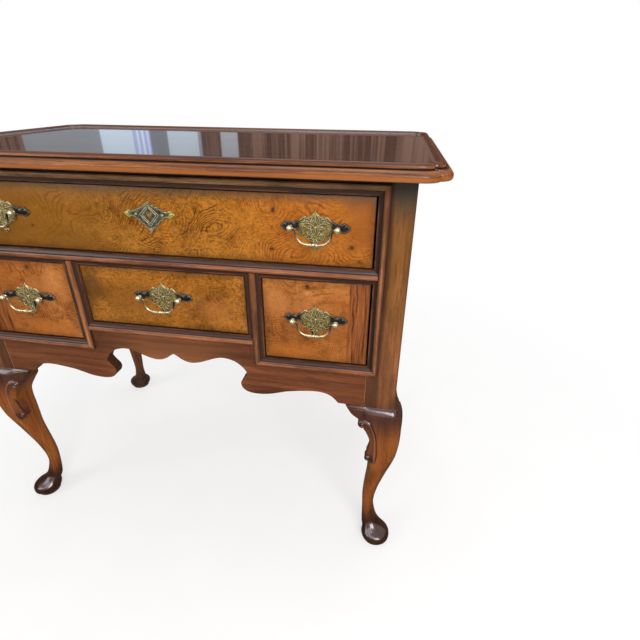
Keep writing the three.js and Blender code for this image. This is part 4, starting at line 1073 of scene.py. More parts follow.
def make_apron():
    lower = [APRON_START]
    for run in APRON_RUNS:
        lower += catmull([lower[-1], *run], steps=5)[1:]
    lower = [(across * OPENING_HALF, LEG_TOP + up * APRON_HEIGHT) for across, up in lower]
    half, raised = OPENING_HALF - GLUE_GAP, CENTRE_HALF - GLUE_GAP
    right = lower + [(half, LEG_TOP), (half, SIDE_OPENING_BOTTOM), (raised, SIDE_OPENING_BOTTOM),
                     (raised, CENTRE_OPENING_BOTTOM)]
    add_sawn_board("front_apron", mirrored(right), Y, FRONT_Y, FRONT_Y + APRON_THICKNESS, APRON_EDGE,
                   APRON_WALNUT)


def make_side_panels():
    y0, y1 = FRONT_Y + POST_SIZE + GLUE_GAP, BACK_Y - POST_SIZE - GLUE_GAP
    start, span = y0 + (y1 - y0) * ARCH_MARGIN, (y1 - y0) * (1 - 2 * ARCH_MARGIN)
    outline = [(y1, CASE_TOP - GLUE_GAP), (y0, CASE_TOP - GLUE_GAP), (y0, LEG_TOP)]
    for i in range(ARCH_STEPS + 1):
        rise = SIDE_ARCH_RISE * (1 - cos(2 * pi * i / ARCH_STEPS)) / 2
        outline.append((start + span * i / ARCH_STEPS, LEG_TOP + rise))
    outline.append((y1, LEG_TOP))
    for word, side in SIDES:
        edges = sorted((side * CASE_HALF, side * (CASE_HALF - SIDE_PANEL_THICKNESS)))
        add_sawn_board(f"side_panel_{word}", outline, X, *edges, PANEL_EDGE, CASE_Z)


make_apron()
make_side_panels()
add_softened("top_rail", BOARD_EDGE, CASE_X)
add_softened("back_panel", INSIDE_EDGE, SECONDARY_X)
for runner in ("top_runner", "side_runner"):
    for word, _ in SIDES:
        add_softened(f"{runner}_{word}", INSIDE_EDGE, SECONDARY_Y)


# Drawers.

FRONT_PAINTS = {
    "top_drawer": top_front_paint(),
    "centre_drawer": centre_front_paint(),
    "right_drawer": side_front_paint("figured_right_drawer", 1, 0),
    "left_drawer": side_front_paint("figured_left_drawer", -1, 14),
}
for drawer, front_paint in FRONT_PAINTS.items():
    add_softened(f"{drawer}_front", FRONT_EDGE, front_paint)
    for part, material in (("left_side", SECONDARY_Y), ("right_side", SECONDARY_Y), ("back", SECONDARY_X),
                           ("bottom", SECONDARY_X)):
        add_softened(f"{drawer}_{part}", BOARD_EDGE, material)


# Legs.

ROUND = (0.97, 0.97, 0.97, 0.97)
# Share of the leg's height; outer and inner offsets; roundness of the corners, as the CAD part gives them.
LEG_ROWS = [
    (0.122, -0.205, -0.82, *ROUND), (0.16, -0.31, -0.83, *ROUND),
    (0.222, -0.402, -0.845, *ROUND), (0.278, -0.39, -0.862, *ROUND),
    (0.333, -0.336, -0.86, 0.97, 0.97, 0.95, 0.97), (0.403, -0.247, -0.834, 0.94, 0.92, 0.9, 0.92),
    (0.472, -0.14, -0.792, 0.85, 0.8, 0.75, 0.8), (0.542, -0.026, -0.757, 0.8, 0.7, 0.6, 0.7),
    (0.611, 0.104, -0.755, 0.8, 0.6, 0.5, 0.62), (0.68, 0.219, -0.75, 0.8, 0.5, 0.4, 0.56),
    (0.75, 0.283, -0.735, 0.8, 0.42, 0.3, 0.6), (0.805, 0.305, -0.755, 0.75, 0.36, 0.2, 0.7),
    (0.85, 0.311, -0.87, 0.7, 0.3, 0.1, 0.8), (0.89, 0.305, -1, 0.64, 0.19, 0.06, 0.9),
    (0.92, 0.288, -1, 0.58, 0.18, 0.05, 0.92), (0.945, 0.258, -1, 0.52, 0.17, 0.05, 0.92),
    (0.963, 0.222, -1, 0.47, 0.17, 0.04, 0.92), (0.978, 0.175, -1, 0.42, 0.16, 0.04, 0.92),
    (0.989, 0.12, -1, 0.38, 0.14, 0.03, 0.92), (0.996, 0.065, -1, 0.3, 0.12, 0.03, 0.92),
    (1, 0.02, -1, 0.2, 0.08, 0.03, 0.92),
]
# Share of the leg's height, and shares of the foot's radius and inset.
FOOT_ROWS = [(0.0145, 0.83, 0.94), (0.024, 0.94, 0.92), (0.036, 0.985, 0.95), (0.05, 1, 1),
             (0.066, 0.93, 1.1), (0.083, 0.77, 1.5), (0.1, 0.66, 1.9)]
# The foot's pad, as radius and height in millimetres.
PAD_ROWS = [(22.7, 0), (23.4, 0.7), (23.5, 4.2), (23.6, 4.9)]
SQUARE = (0.04, 0.04, 0.03, 0.04)
QUARTER_STEPS = 12


def leg_ring(outer, inner, rounds, height):
    half, middle = (outer - inner) / 2, (outer + inner) / 2
    outer_round, side_round, inner_round, along_round = rounds
    corners = [(1, 1, outer_round, outer_round), (-1, 1, along_round, side_round),
               (-1, -1, inner_round, inner_round), (1, -1, side_round, along_round)]
    ring = []
    for quarter, (sx, sy, rx, ry) in enumerate(corners):
        for step in range(QUARTER_STEPS + 1):
            angle = pi / 2 * (quarter + step / QUARTER_STEPS)
            x = sx * (1 - rx) + rx * cos(angle)
            y = sy * (1 - ry) + ry * sin(angle)
            ring.append((middle + half * x, middle + half * y, height))
    return ring


def leg_rings():
    rings = [leg_ring(radius - FOOT_INSET, -radius - FOOT_INSET, ROUND, up) for radius, up in PAD_ROWS]
    rows = []
    for up, radius, offset in FOOT_ROWS:
        out, back = radius * FOOT_RADIUS, offset * FOOT_INSET
        rows.append((up, (out - back) / POST_SIZE, (-out - back) / POST_SIZE, *ROUND))
    for up, outer, inner, *rounds in catmull(rows + LEG_ROWS, steps=5):
        rings.append(leg_ring(outer * POST_SIZE, max(inner, -1) * POST_SIZE, rounds, up * LEG_TOP))
    return rings + [leg_ring(0, -POST_SIZE, SQUARE, height) for height in (LEG_TOP, CASE_TOP - GLUE_GAP)]


def at_corner(point, side, rear):
    """A point of the leg's frame, outwards to the side and to the front, at one corner of the case."""
    x, y, z = point
    return (side * (CASE_HALF + x), BACK_Y + y if rear else FRONT_Y - y, z)


# The scroll's free edge and its edge on the leg, as shares of the post's width and of the leg's height.
SCROLL_FREE = [(-1.13, 0.914), (-1.08, 0.893), (-0.955, 0.883), (-0.862, 0.883), (-0.789, 0.856),
               (-0.736, 0.818), (-0.732, 0.789), (-0.77, 0.753), (-0.826, 0.722), (-0.83, 0.693),
               (-0.768, 0.664), (-0.691, 0.651)]
SCROLL_LEG = [(-1.09, 0.928), (-0.96, 0.942), (-0.762, 0.933), (-0.653, 0.907), (-0.534, 0.865),
              (-0.483, 0.812), (-0.445, 0.754), (-0.44, 0.689), (-0.5, 0.653), (-0.596, 0.633)]
# How far the scroll stands out at shares of the leg's height, and how softly that meets its face.
SCROLL_OUT = [(0.61, 0.36), (0.68, 0.53), (0.75, 0.69), (0.85, 0.81), (0.9, 0.78), (0.94, 0.65), (0.97, 0.53)]
SCROLL_BLEND = 1.5
# Where each volute is on the leg, its radius, how far it stands out, and where its spiral starts, in turns.
VOLUTES = [(-54.5, 328.5, 8.2, 13.6, 0.1), (-40.0, 246.5, 6.6, 11.4, 0.35)]
# A volute's round eye, as shares of its radius and distances from how far it stands out.
VOLUTE_DISC = [(1, -2.4), (0.93, -1.4), (0.8, -1.1), (0.4, -1.2), (0.36, -0.4), (0.26, 0.5), (0.12, 0.85),
               (0.02, 0.9)]
VOLUTE_SIDES = 24
# A volute's spiral: its turns, then the start and the change of its radius, thickness and place out.
SPIRAL_TURNS = 1.45
SPIRAL_RADIUS = (0.84, -0.36)
SPIRAL_THICKNESS = (0.19, -0.1)
SPIRAL_OUT = (-1.2, 0.3)
SPIRAL_FLAT = 1.1
SPIRAL_SIDES = 8
SPIRAL_STEPS = 48
SCROLL_STEPS = 90
RIBBON_COLUMNS = 30
# How far the ribbon stands above the leg, across from its free edge to the edge on the leg.
RIBBON = [(0, -3.6), (0.1, -1.2), (0.26, 0.2), (0.42, 0.5), (0.56, 0.3), (0.74, 2.6), (0.84, 2.9),
          (0.93, 1.8), (1, -0.4)]
# The share of it that is left along the scroll, and how deep it is sunk where nothing is left.
RIBBON_TIPS = [(0, 0), (0.08, 1), (0.9, 1), (1, 0)]
RIBBON_SINK = 1.2

# The bracket's lower edge from its tip to the post, as shares of its reach and fall, and how far its face
# stands out at shares of the leg's height.
BRACKET_EDGE = [(-1, 0), (-0.876, -0.184), (-0.618, -0.487), (-0.235, -0.72), (0, -1)]
BRACKET_OUT = [(0.75, 1), (0.9, 1), (0.935, 0.93), (0.96, 0.79), (0.978, 0.6), (0.99, 0.38), (0.997, 0.16),
               (1, 0.06)]
BRACKET_STEPS = 40
BRACKET_ROWS = 22
# The rows stand closer at the top by this power.
ROW_POWER = 1.4
# The lower edge is rounded over this height, from this share of how far the bracket stands out.
BRACKET_LIP = 6
LIP_START = 0.45
# How far the bracket's face runs on over the leg's rounded corner, as a share of the bracket's reach.
BRACKET_LAP = 0.24
LAP_SINK = 0.5
LAP_STEPS = 5


def scroll_face(x, z):
    """How far the carved scroll's highest part stands out at a place on the leg."""
    wedge = BRACKET_PROUD + SCROLL_RELIEF
    if x > -POST_SIZE:
        plan = wedge + (2 * SCROLL_PROUD - wedge) * (x + POST_SIZE) / POST_SIZE
    else:
        plan = wedge + (BRACKET_TIP_PROUD - BRACKET_PROUD) * (-POST_SIZE - x) / BRACKET_REACH
    rise = along_table(SCROLL_OUT, z / LEG_TOP) * SCROLL_PROUD
    gap = plan - rise
    return (plan + rise - sqrt(gap * gap + SCROLL_BLEND)) / 2


def leg_surface(rings):
    """A function that gives how far out the turned leg stands at a place seen from the front, or 0."""
    points, faces = [], []
    add_skin(points, faces, rings)
    tree = BVHTree.FromPolygons(points, faces)

    def surface(x, z):
        hit = tree.ray_cast(Vector((x, 2 * POST_SIZE, z)), Vector((0, -1, 0)))[0]
        return hit.y if hit else 0

    return surface


def column_place(column):
    """How far across the scroll a column of its grid is; the columns stand closer at both edges."""
    return 0.5 - 0.5 * cos(pi * column / (RIBBON_COLUMNS - 1))


def scroll_grid(surface):
    free = evenly(catmull(SCROLL_FREE), SCROLL_STEPS)
    leg = evenly(catmull(SCROLL_LEG), SCROLL_STEPS)
    grid = []
    for number, (a, b) in enumerate(zip(free, leg)):
        row = []
        tip = along_table(RIBBON_TIPS, number / (SCROLL_STEPS - 1))
        for s in map(column_place, range(RIBBON_COLUMNS)):
            x = (a[0] + (b[0] - a[0]) * s) * POST_SIZE
            z = (a[1] + (b[1] - a[1]) * s) * LEG_TOP
            base = max(scroll_face(x, z), surface(x, z))
            row.append((x, base + along_table(RIBBON, s) * tip - RIBBON_SINK * (1 - tip), z))
        grid.append(row)
    return grid


def add_volutes(points, faces):
    """Adds a wound spiral with a round eye at each end of the scroll, in the leg's frame."""
    for x, z, radius, out, turn in VOLUTES:
        disc = [(radius, -SCROLL_DEPTH)] + [(share * radius, out + rise) for share, rise in VOLUTE_DISC]
        add_skin(points, faces, [[(x + r * cos(a), y, z + r * sin(a)) for a in turns(VOLUTE_SIDES)]
                                 for r, y in disc])
        path, radii = [], []
        for i in range(SPIRAL_STEPS + 1):
            share = i / SPIRAL_STEPS
            angle = 2 * pi * (turn - SPIRAL_TURNS * share)
            spiral, thickness, depth = [start + change * share for start, change in
                                        (SPIRAL_RADIUS, SPIRAL_THICKNESS, SPIRAL_OUT)]
            across, up = radius * spiral * cos(angle), radius * spiral * sin(angle)
            path.append((x + across, out + depth, z + up))
            radii.append(radius * thickness)
        add_skin(points, faces, tube_rings(path, radii, SPIRAL_SIDES, SPIRAL_FLAT))


def bracket_grid(surface):
    inner, top = -POST_SIZE - HAIRLINE, LEG_TOP - HAIRLINE
    edge = evenly(catmull(BRACKET_EDGE), BRACKET_STEPS)
    edge += [(BRACKET_LAP * i / LAP_STEPS, -1) for i in range(1, LAP_STEPS + 1)]
    grid = []
    for across, up in edge:
        x = inner + across * BRACKET_REACH
        low = top + up * BRACKET_FALL
        plan = BRACKET_PROUD + (BRACKET_TIP_PROUD - BRACKET_PROUD) * max(0, -across)
        column = []
        for i in range(BRACKET_ROWS):
            z = low + (top - low) * (1 - (1 - i / (BRACKET_ROWS - 1)) ** ROW_POWER)
            lip = sqrt(max(0.0, 1 - (1 - min(1.0, (z - low) / BRACKET_LIP)) ** 2))
            out = plan * along_table(BRACKET_OUT, z / LEG_TOP) * (LIP_START + (1 - LIP_START) * lip)
            if across > 0:
                share = across / BRACKET_LAP
                out += (surface(x, z) - LAP_SINK * share - out) * eased(share)
            column.append((x, out, z))
        grid.append(column)
    return grid


def front_shell(grid, back):
    """A closed solid whose front is a grid of points in the leg's frame, with its back at one depth."""
    front = [point for row in grid for point in row]
    other = len(front)
    index = [[r * len(row) + c for c in range(len(row))] for r, row in enumerate(grid)]
    faces = []
    for upper, lower in zip(index, index[1:]):
        for a, b, d, e in zip(upper, upper[1:], lower, lower[1:]):
            faces += [(a, b, e, d), (other + d, other + e, other + b, other + a)]
    rim = index[0] + [row[-1] for row in index[1:]] + index[-1][-2::-1] + [row[0] for row in index[-2:0:-1]]
    faces += [(a, b, other + b, other + a) for a, b in zip(rim, rim[1:] + rim[:1])]
    return front + [(x, back, z) for x, _, z in front], faces


def carved_piece(name, grid, back, corner, to_side, angle, volutes=False):
    """A carved piece at one corner; a scroll's across value is 0 at its free edge and 1 at the leg."""
    points, faces = front_shell(grid, back)
    carved = len(points) // 2
    if volutes:
        add_volutes(points, faces)
    if to_side:
        points = [(y, x, z) for x, y, z in points]
    shape = bmesh.new()
    added(shape, [at_corner(point, *corner) for point in points], faces)
    if volutes:
        layer = shape.verts.layers.float.new("across")
        for i, vertex in enumerate(shape.verts):
            vertex[layer] = column_place(i % RIBBON_COLUMNS) if i < carved else 0.5
    welded(shape, CARVING_WELD)
    return from_bmesh(name, shape, angle)


def make_legs():
    rings = leg_rings()
    surface = leg_surface(rings)
    carving, bracket = scroll_grid(surface), bracket_grid(surface)
    for word, side in SIDES:
        for place, rear in (("front", False), ("rear", True)):
            corner = (side, rear)
            node = f"{place}_leg_{word}"
            shape = bmesh.new()
            add_loft(shape, [[at_corner(point, *corner) for point in ring] for ring in rings])
            welded(shape, CARVING_WELD)
            finished(from_bmesh(f"{node}.turned", shape, angle=42), LEG_WALNUT, node)
            for face in ("side",) if rear else ("front", "side"):
                to_side = face == "side"
                scroll = f"{node}.{face}_scroll"
                piece = carved_piece(scroll, carving, -SCROLL_DEPTH, corner, to_side, angle=50, volutes=True)
                finished(piece, CARVED_WALNUT)
                knee = f"{place}_side_knee_bracket_{word}" if to_side else f"front_knee_bracket_{word}"
                piece = carved_piece(f"{knee}.carved", bracket, -APRON_THICKNESS, corner, to_side, angle=45)
                finished(piece, LEG_WALNUT, knee)


make_legs()


# Brasses.

# Right halves of the outlines, as shares of the half width, the rise and the fall, and the corners in them.
PLATE_UPPER = [(0, 1), (0.065, 0.8), (0.12, 0.68), (0.19, 0.66), (0.235, 0.565), (0.29, 0.61), (0.35, 0.6),
               (0.43, 0.45), (0.515, 0.35), (0.59, 0.27), (0.66, 0.21), (0.75, 0.27), (0.815, 0.35), (1, 0)]
PLATE_LOWER = [(0.88, -0.16), (0.75, -0.2), (0.66, -0.17), (0.56, -0.12), (0.46, -0.17), (0.455, -0.3),
               (0.36, -0.435), (0.27, -0.425), (0.235, -0.53), (0.15, -0.6), (0.09, -0.62), (0.05, -0.76),
               (0.085, -0.86), (0, -1)]
PLATE_CORNERS = {0, 4, 10, 12, 13, 17, 21, 25}
ESCUTCHEON_UPPER = [(0, 1), (0.09, 0.78), (0.17, 0.72), (0.22, 0.6), (0.31, 0.58), (0.38, 0.46), (0.47, 0.4),
                    (0.55, 0.27), (0.67, 0.2), (0.79, 0.3), (1, 0)]
ESCUTCHEON_LOWER = [(0.8, -0.24), (0.68, -0.16), (0.57, -0.19), (0.51, -0.32), (0.41, -0.35), (0.34, -0.51),
                    (0.25, -0.55), (0.19, -0.7), (0.11, -0.76), (0, -1)]
ESCUTCHEON_CORNERS = {0, 2, 4, 6, 9, 10, 11, 13, 15, 17, 19}

# The plate's raised leaves, each from a place to a place and by how much it bows, drawn on both halves.
LEAVES = [((0, 20), (7, 2.5), 0.12), ((7, 2.5), (0, -15), 0.12), ((0, 15), (4, 3), -0.1),
          ((4, 3), (0, -9), -0.1), ((2, 1), (19, 5), 0.14), ((19, 5), (3, -3), 0.16), ((6, 8), (17, 13), 0.2),
          ((6, -6), (16, -12), -0.2), ((4, 14), (12, 12), 0.25), ((19, 3), (23, -3), -0.3),
          ((5, -14), (11, -17), -0.3), ((1.5, -18), (5, -22), -0.2), ((22, 8), (16, 10), 0.25)]
LEAF_STEPS = 10
# A leaf's ends, as a share of the half turn that its thickness follows, and its flatness.
LEAF_END = 0.12
LEAF_FLAT = 0.8
# How much wider the dark line under a leaf is, and how flat all dark lines are.
PATINA_SPREAD = 1.9
PATINA_FLAT = 0.28
# The plate's raised border and the dark line inside it: distance from the outline, and radius.
PLATE_BORDER = (1.5, 0.6)
PLATE_PATINA = (2.6, 0.9)
LINE_FLAT = 0.9
LINE_SIDES = 6
# Round studs in the middle and, on both halves, beside it: place, radius and rise.
PLATE_STUDS = [(0, 22.2, 0.9, 0.9), (0, -0.5, 2.0, 1.8), (0, -31.5, 1.7, 1.53), (13, 9.5, 1.0, 1.0),
               (12, -9, 1.0, 1.0), (45, 3, 1.6, 1.44)]
ESCUTCHEON_STUDS = [(0, -24.5, 2.2, 1.0), (22, -1.5, 2.2, 1.0), (36, 0, 2.2, 1.0)]
STUD_ANGLES = (0, 0.35, 0.7, 1.05, 1.35, 1.52)
STUD_SINK = 0.3
# The escutcheon's raised diamonds: top, half width, middle and bottom.
DIAMONDS = [(10.5, 11.5, -2, -15.5), (13.5, 15.5, -1.5, -19.5)]
DIAMOND_RADIUS = 0.55
DIAMOND_STEPS = 8
# Its border of beads: distance from the outline, and each bead's radius, rise and number of sides.
BEADS_INSET = 1.3
BORDER_BEAD = (0.85, 0.75, 8)
BORDER_BEADS = 104
KEYHOLE_STEPS = 24
# Radius and how far out along a post, up to its ball.
POST_PROFILE = [(6.0, -0.5), (6.0, 0.7), (5.7, 1.1), (5.0, 1.3), (4.8, 1.7), (4.9, 2.2), (4.4, 2.8),
                (3.6, 3.2), (3.0, 4.2), (2.6, 6.0), (2.5, 9.0), (2.7, 11.5), (3.2, 12.6), (3.6, 13.2),
                (3.2, 13.7)]
# The share of the ball's half turn that the neck takes, and the radius of its flat tip.
BALL_START = 0.2
BALL_TIP = 0.4
BALL_STEPS = 12
# The curve of a bail from its upright part to its bottom, as shares of the way inwards and down.
BAIL_CURVE = [(0.03, 0.42), (0.12, 0.66), (0.33, 0.88), (0.62, 0.985), (0.9, 1.0)]
# Rings beside a bail's bottom bead: place across, and radius and place along of their profile.
BAIL_RINGS = [(4.6, [(2.0, -1.1), (2.9, -0.6), (2.9, 0.6), (2.0, 1.1)]),
              (7.2, [(2.0, -0.6), (2.55, -0.2), (2.55, 0.2), (2.0, 0.6)])]
BEAD_STEPS = 14
BAIL_STEPS = 120
BAIL_SIDES = 14
RING_SIDES = 20
# A bail's radius, and how much it swells, round which place and over what length: on both sides of its
# bottom beads, in the lowest part only, and below its pins.
BAIL_RADIUS = 1.65
LOW_SWELL = (0.75, 10.5, 6.0)
LOW_PART = 0.7
HIGH_SWELL = (0.25, -4, 3)
# The middle of a bail's bend, the share of the bend where its pin starts, and how far the pin's end is
# from the middle of its post.
BEND_MIDDLE = 1.2
PIN_START = 0.7
PIN_END = 0.95

# Where the handles are, across and up, seen from the front.
HANDLES = {"top_left_handle": (-262, 682), "top_right_handle": (262, 682), "centre_handle": (0, 548.5),
           "right_handle": (262.7, 528.5), "left_handle": (-262.7, 528.5)}
ESCUTCHEON_HEIGHT = 689.5
PLATE_BEVEL = 0.55
NET_STEP = 2.2


def brass_outline(upper, lower, size, corners):
    """A symmetric outline that stays sharp at its corners and is smooth between them."""
    half_width, rise, fall = size
    points = [(a * half_width, u * rise) for a, u in upper] + [(a * half_width, u * fall) for a, u in lower]
    right = []
    start = 0
    for i in range(1, len(points)):
        if i in corners or i == len(points) - 1:
            right += catmull(points[start:i + 1], steps=3)[:-1]
            start = i
    return mirrored([*right, points[-1]])


def on_plate(outline, depth=-PLATE_THICKNESS):
    return [(x, depth, z) for x, z in outline]


def add_plate(shape, outline, hole=None):
    """A plate with a bevelled front edge, its back on the drawer, and an optional hole."""
    rim = inset(outline, PLATE_BEVEL)
    rings = [on_plate(outline, 0), on_plate(outline, PLATE_BEVEL - PLATE_THICKNESS), on_plate(rim)]
    add_loft(shape, rings, closed_ends=not hole)
    if not hole:
        return
    for depth, edge in ((0, outline), (-PLATE_THICKNESS, rim)):
        flat = [Vector((x, z, 0)) for x, z in edge], [Vector((x, z, 0)) for x, z in hole]
        added(shape, on_plate([*edge, *hole], depth), tessellate_polygon(flat))
    add_loft(shape, [on_plate(hole, 0), on_plate(hole)], closed_ends=False)
    welded(shape, HOLE_WELD)


def net_places(low, high):
    return [low + NET_STEP * (i + 0.5) for i in range(int((high - low) / NET_STEP))]


def cut_to_net(shape, size):
    """Cuts a flat plate into small cells, so that the ridges' wear and painted highlight, and the hollows'
    dark patina, keep to its edges.
    """
    half_width, rise, fall = size
    bmesh.ops.triangulate(shape, faces=shape.faces[:])
    cuts = [(Vector((at, 0, 0)) * MM, Vector((1, 0, 0))) for at in net_places(-half_width, half_width)]
    cuts += [(Vector((0, 0, at)) * MM, Vector((0, 0, 1))) for at in net_places(-fall, rise)]
    for spot, normal in cuts:
        everything = shape.verts[:] + shape.edges[:] + shape.faces[:]
        bmesh.ops.bisect_plane(shape, geom=everything, dist=BOARD_WELD * MM, plane_co=spot, plane_no=normal)


def add_turned(shape, profile, place, sides=28, across=False):
    """A turned shape; the profile holds radius and how far to the front, or to the right if across."""
    rings = []
    for radius, along in profile:
        ring = [Vector((radius * cos(angle), -along, radius * sin(angle))) for angle in turns(sides)]
        if across:
            ring = [Vector((along, spot.x, spot.z)) for spot in ring]
        rings.append([tuple(Vector(place) + spot) for spot in ring])
    add_loft(shape, rings)


def add_stud(shape, x, z, radius, rise, sides=12):
    profile = [(radius * cos(angle), rise * sin(angle)) for angle in STUD_ANGLES]
    add_turned(shape, [(radius, -STUD_SINK), *profile], (x, -PLATE_THICKNESS, z), sides)


def add_studs(shape, studs):
    for x, z, radius, rise in studs:
        for place in {x, -x}:
            add_stud(shape, place, z, radius, rise)


def leaf(start, end, bow):
    """A bowed run between two points of the plate."""
    (x0, z0), (x1, z1) = start, end
    dx, dz = x1 - x0, z1 - z0
    out = []
    for t in (i / LEAF_STEPS for i in range(LEAF_STEPS + 1)):
        lift = 4 * bow * t * (1 - t)
        out.append((x0 + dx * t - dz * lift, z0 + dz * t + dx * lift))
    return on_plate(out)


def add_patina(shape, path, radii, closed=False):
    """A flat dark line, for the old polish that stays beside the raised lines."""
    first = len(shape.faces)
    add_tube(shape, path, radii, LINE_SIDES, PATINA_FLAT, closed=closed)
    for face in shape.faces[first:]:
        face.material_index = 1


def plate_shape():
    outline = brass_outline(PLATE_UPPER, PLATE_LOWER, PLATE_SIZE, PLATE_CORNERS)
    shape = bmesh.new()
    add_plate(shape, outline)
    cut_to_net(shape, PLATE_SIZE)
    for start, end, bow in LEAVES:
        for side in (1, -1):
            path = leaf((side * start[0], start[1]), (side * end[0], end[1]), side * bow)
            shares = [LEAF_END + (1 - 2 * LEAF_END) * i / LEAF_STEPS for i in range(LEAF_STEPS + 1)]
            radii = [sin(pi * share) for share in shares]
            add_patina(shape, path, [PATINA_SPREAD * radius for radius in radii])
            add_tube(shape, path, radii, LINE_SIDES, LEAF_FLAT)
    distance, radius = PLATE_PATINA
    add_patina(shape, on_plate(inset(outline, distance)), radius, closed=True)
    distance, radius = PLATE_BORDER
    add_tube(shape, on_plate(inset(outline, distance)), radius, LINE_SIDES, LINE_FLAT, closed=True)
    add_studs(shape, PLATE_STUDS)
    return shape


def post_shape(side):
    profile = list(POST_PROFILE)
    for i in range(1, BALL_STEPS + 1):
        angle = -pi / 2 + pi * (BALL_START + (1 - BALL_START) * i / BALL_STEPS)
        profile.append((max(POST_BALL * cos(angle), BALL_TIP), POST_REACH + POST_BALL * sin(angle)))
    shape = bmesh.new()
    add_turned(shape, profile, (side * POST_SPACING / 2, -PLATE_THICKNESS, POST_LIFT))
    return shape


def swelling(at, amount, middle, length):
    return amount * exp(-((at - middle) / length) ** 2)


def bail_radius(x, z):
    low = swelling(abs(x), *LOW_SWELL) if z < -BAIL_DROP * LOW_PART else 0.0
    return BAIL_RADIUS + low + swelling(z, *HIGH_SWELL)


def bail_shape():
    right = [(BAIL_LEG + BAIL_BEND, 0), (BAIL_LEG + BEND_MIDDLE, -BEND_MIDDLE), (BAIL_LEG, -BAIL_BEND)]
    right += [(BAIL_LEG - BAIL_DROP * inward, -BAIL_DROP * down) for inward, down in BAIL_CURVE]
    path = evenly(catmull(mirrored(right)), BAIL_STEPS)
    shape = bmesh.new()
    add_tube(shape, on_plate(path, 0), [bail_radius(x, z) for x, z in path], BAIL_SIDES)
    start, end = BAIL_LEG + BAIL_BEND * PIN_START, POST_SPACING / 2 - PIN_END
    for side in (1, -1):
        add_tube(shape, [(side * start, 0, 0), (side * end, 0, 0)], PIN_RADIUS, BAIL_SIDES)
        for place, profile in BAIL_RINGS:
            add_turned(shape, profile, (side * place, 0, -BAIL_DROP), RING_SIDES, across=True)
    angles = [pi * i / BEAD_STEPS for i in range(1, BEAD_STEPS)]
    bead = [(BAIL_BEAD * sin(angle), -BAIL_BEAD * cos(angle)) for angle in angles]
    add_turned(shape, bead, (0, 0, -BAIL_DROP), RING_SIDES, across=True)
    return shape


def placed(pattern, name, spot):
    piece = linked(name, pattern.data)
    piece.location = spot
    return piece


def make_handles():
    plate_pattern = from_bmesh("plate_pattern", plate_shape(), angle=35)
    dark_faces = [face.index for face in plate_pattern.data.polygons if face.material_index == 1]
    bail_pattern = from_bmesh("bail_pattern", bail_shape(), angle=40)
    post_patterns = {word: from_bmesh(f"post_pattern_{word}", post_shape(side), angle=40)
                     for word, side in SIDES}
    for handle, (x, z) in HANDLES.items():
        node = f"{handle}_plate"
        spot = Vector((x, DRAWER_FACE - GLUE_GAP, z)) * MM
        finished(placed(plate_pattern, f"{node}.engraved", spot), PLATE_BRASS, node)
        for word, pattern in post_patterns.items():
            finished(placed(pattern, f"{handle}_{word}_post", spot), POST_BRASS, body=body_of(node))
        axis = spot + Vector((0, -(PLATE_THICKNESS + POST_REACH), POST_LIFT)) * MM
        finished(placed(bail_pattern, f"{handle}_bail.turned", axis), BAIL_BRASS, f"{handle}_bail")
    # The five plates share one mesh, so its second material is given once.
    plate_pattern.data.materials.append(PATINA)
    for index in dark_faces:
        plate_pattern.data.polygons[index].material_index = 1
    for pattern in (plate_pattern, bail_pattern, *post_patterns.values()):
        bpy.data.objects.remove(pattern)


make_handles()


def make_escutcheon():
    outline = brass_outline(ESCUTCHEON_UPPER, ESCUTCHEON_LOWER, ESCUTCHEON_SIZE, ESCUTCHEON_CORNERS)
    meet = asin(KEYHOLE_SLOT / KEYHOLE_RADIUS)
    angles = [-pi / 2 + meet + (2 * pi - 2 * meet) * i / KEYHOLE_STEPS for i in range(KEYHOLE_STEPS + 1)]
    keyhole = [(KEYHOLE_RADIUS * cos(angle), KEYHOLE_RADIUS * sin(angle)) for angle in angles]
    keyhole += [(-KEYHOLE_SLOT, -KEYHOLE_FALL), (KEYHOLE_SLOT, -KEYHOLE_FALL)]
    shape = bmesh.new()
    add_plate(shape, outline, keyhole)
    cut_to_net(shape, ESCUTCHEON_SIZE)
    for high, half, middle, low in DIAMONDS:
        corners = [(0, high), (half, middle), (0, low), (-half, middle), (0, high)]
        line = [tuple(p + (q - p) * t / DIAMOND_STEPS for p, q in zip(a, b))
                for a, b in zip(corners, corners[1:]) for t in range(DIAMOND_STEPS)]
        add_tube(shape, on_plate(line), DIAMOND_RADIUS, LINE_SIDES, LINE_FLAT, closed=True)
    border = inset(outline, BEADS_INSET)
    for x, z in evenly([*border, border[0]], BORDER_BEADS + 1)[:-1]:
        add_stud(shape, x, z, *BORDER_BEAD)
    add_studs(shape, ESCUTCHEON_STUDS)
    piece = from_bmesh("escutcheon.engraved", shape, angle=35)
    piece.location = Vector((0, DRAWER_FACE - GLUE_GAP, ESCUTCHEON_HEIGHT)) * MM
    finished(piece, ESCUTCHEON_BRASS, "escutcheon")


make_escutcheon()


# Floor, light and camera.

STUDIO_HALF = 3200
STUDIO_FRONT = -3600
STUDIO_BACK = 1500
STUDIO_HEIGHT = 1900
STUDIO_FRONT_HEIGHT = 1000
STUDIO_FLOOR = 3
WINDOW_HALF = 2200
WINDOW_FRONT = -2600
WINDOW_FOOT = 2300
WINDOW_RISE = (0, 600, 1000)
FLOOR_HALF = 9000
FLOOR_FRONT = -6000
FLOOR_DEPTH = 20000
# How far from the middle, in metres, the floor starts to turn plain and is plain.
FLOOR_FADE = (0.5, 1.5)
WHITE = (1, 1, 1, 1)
AMBIENT = 0.42
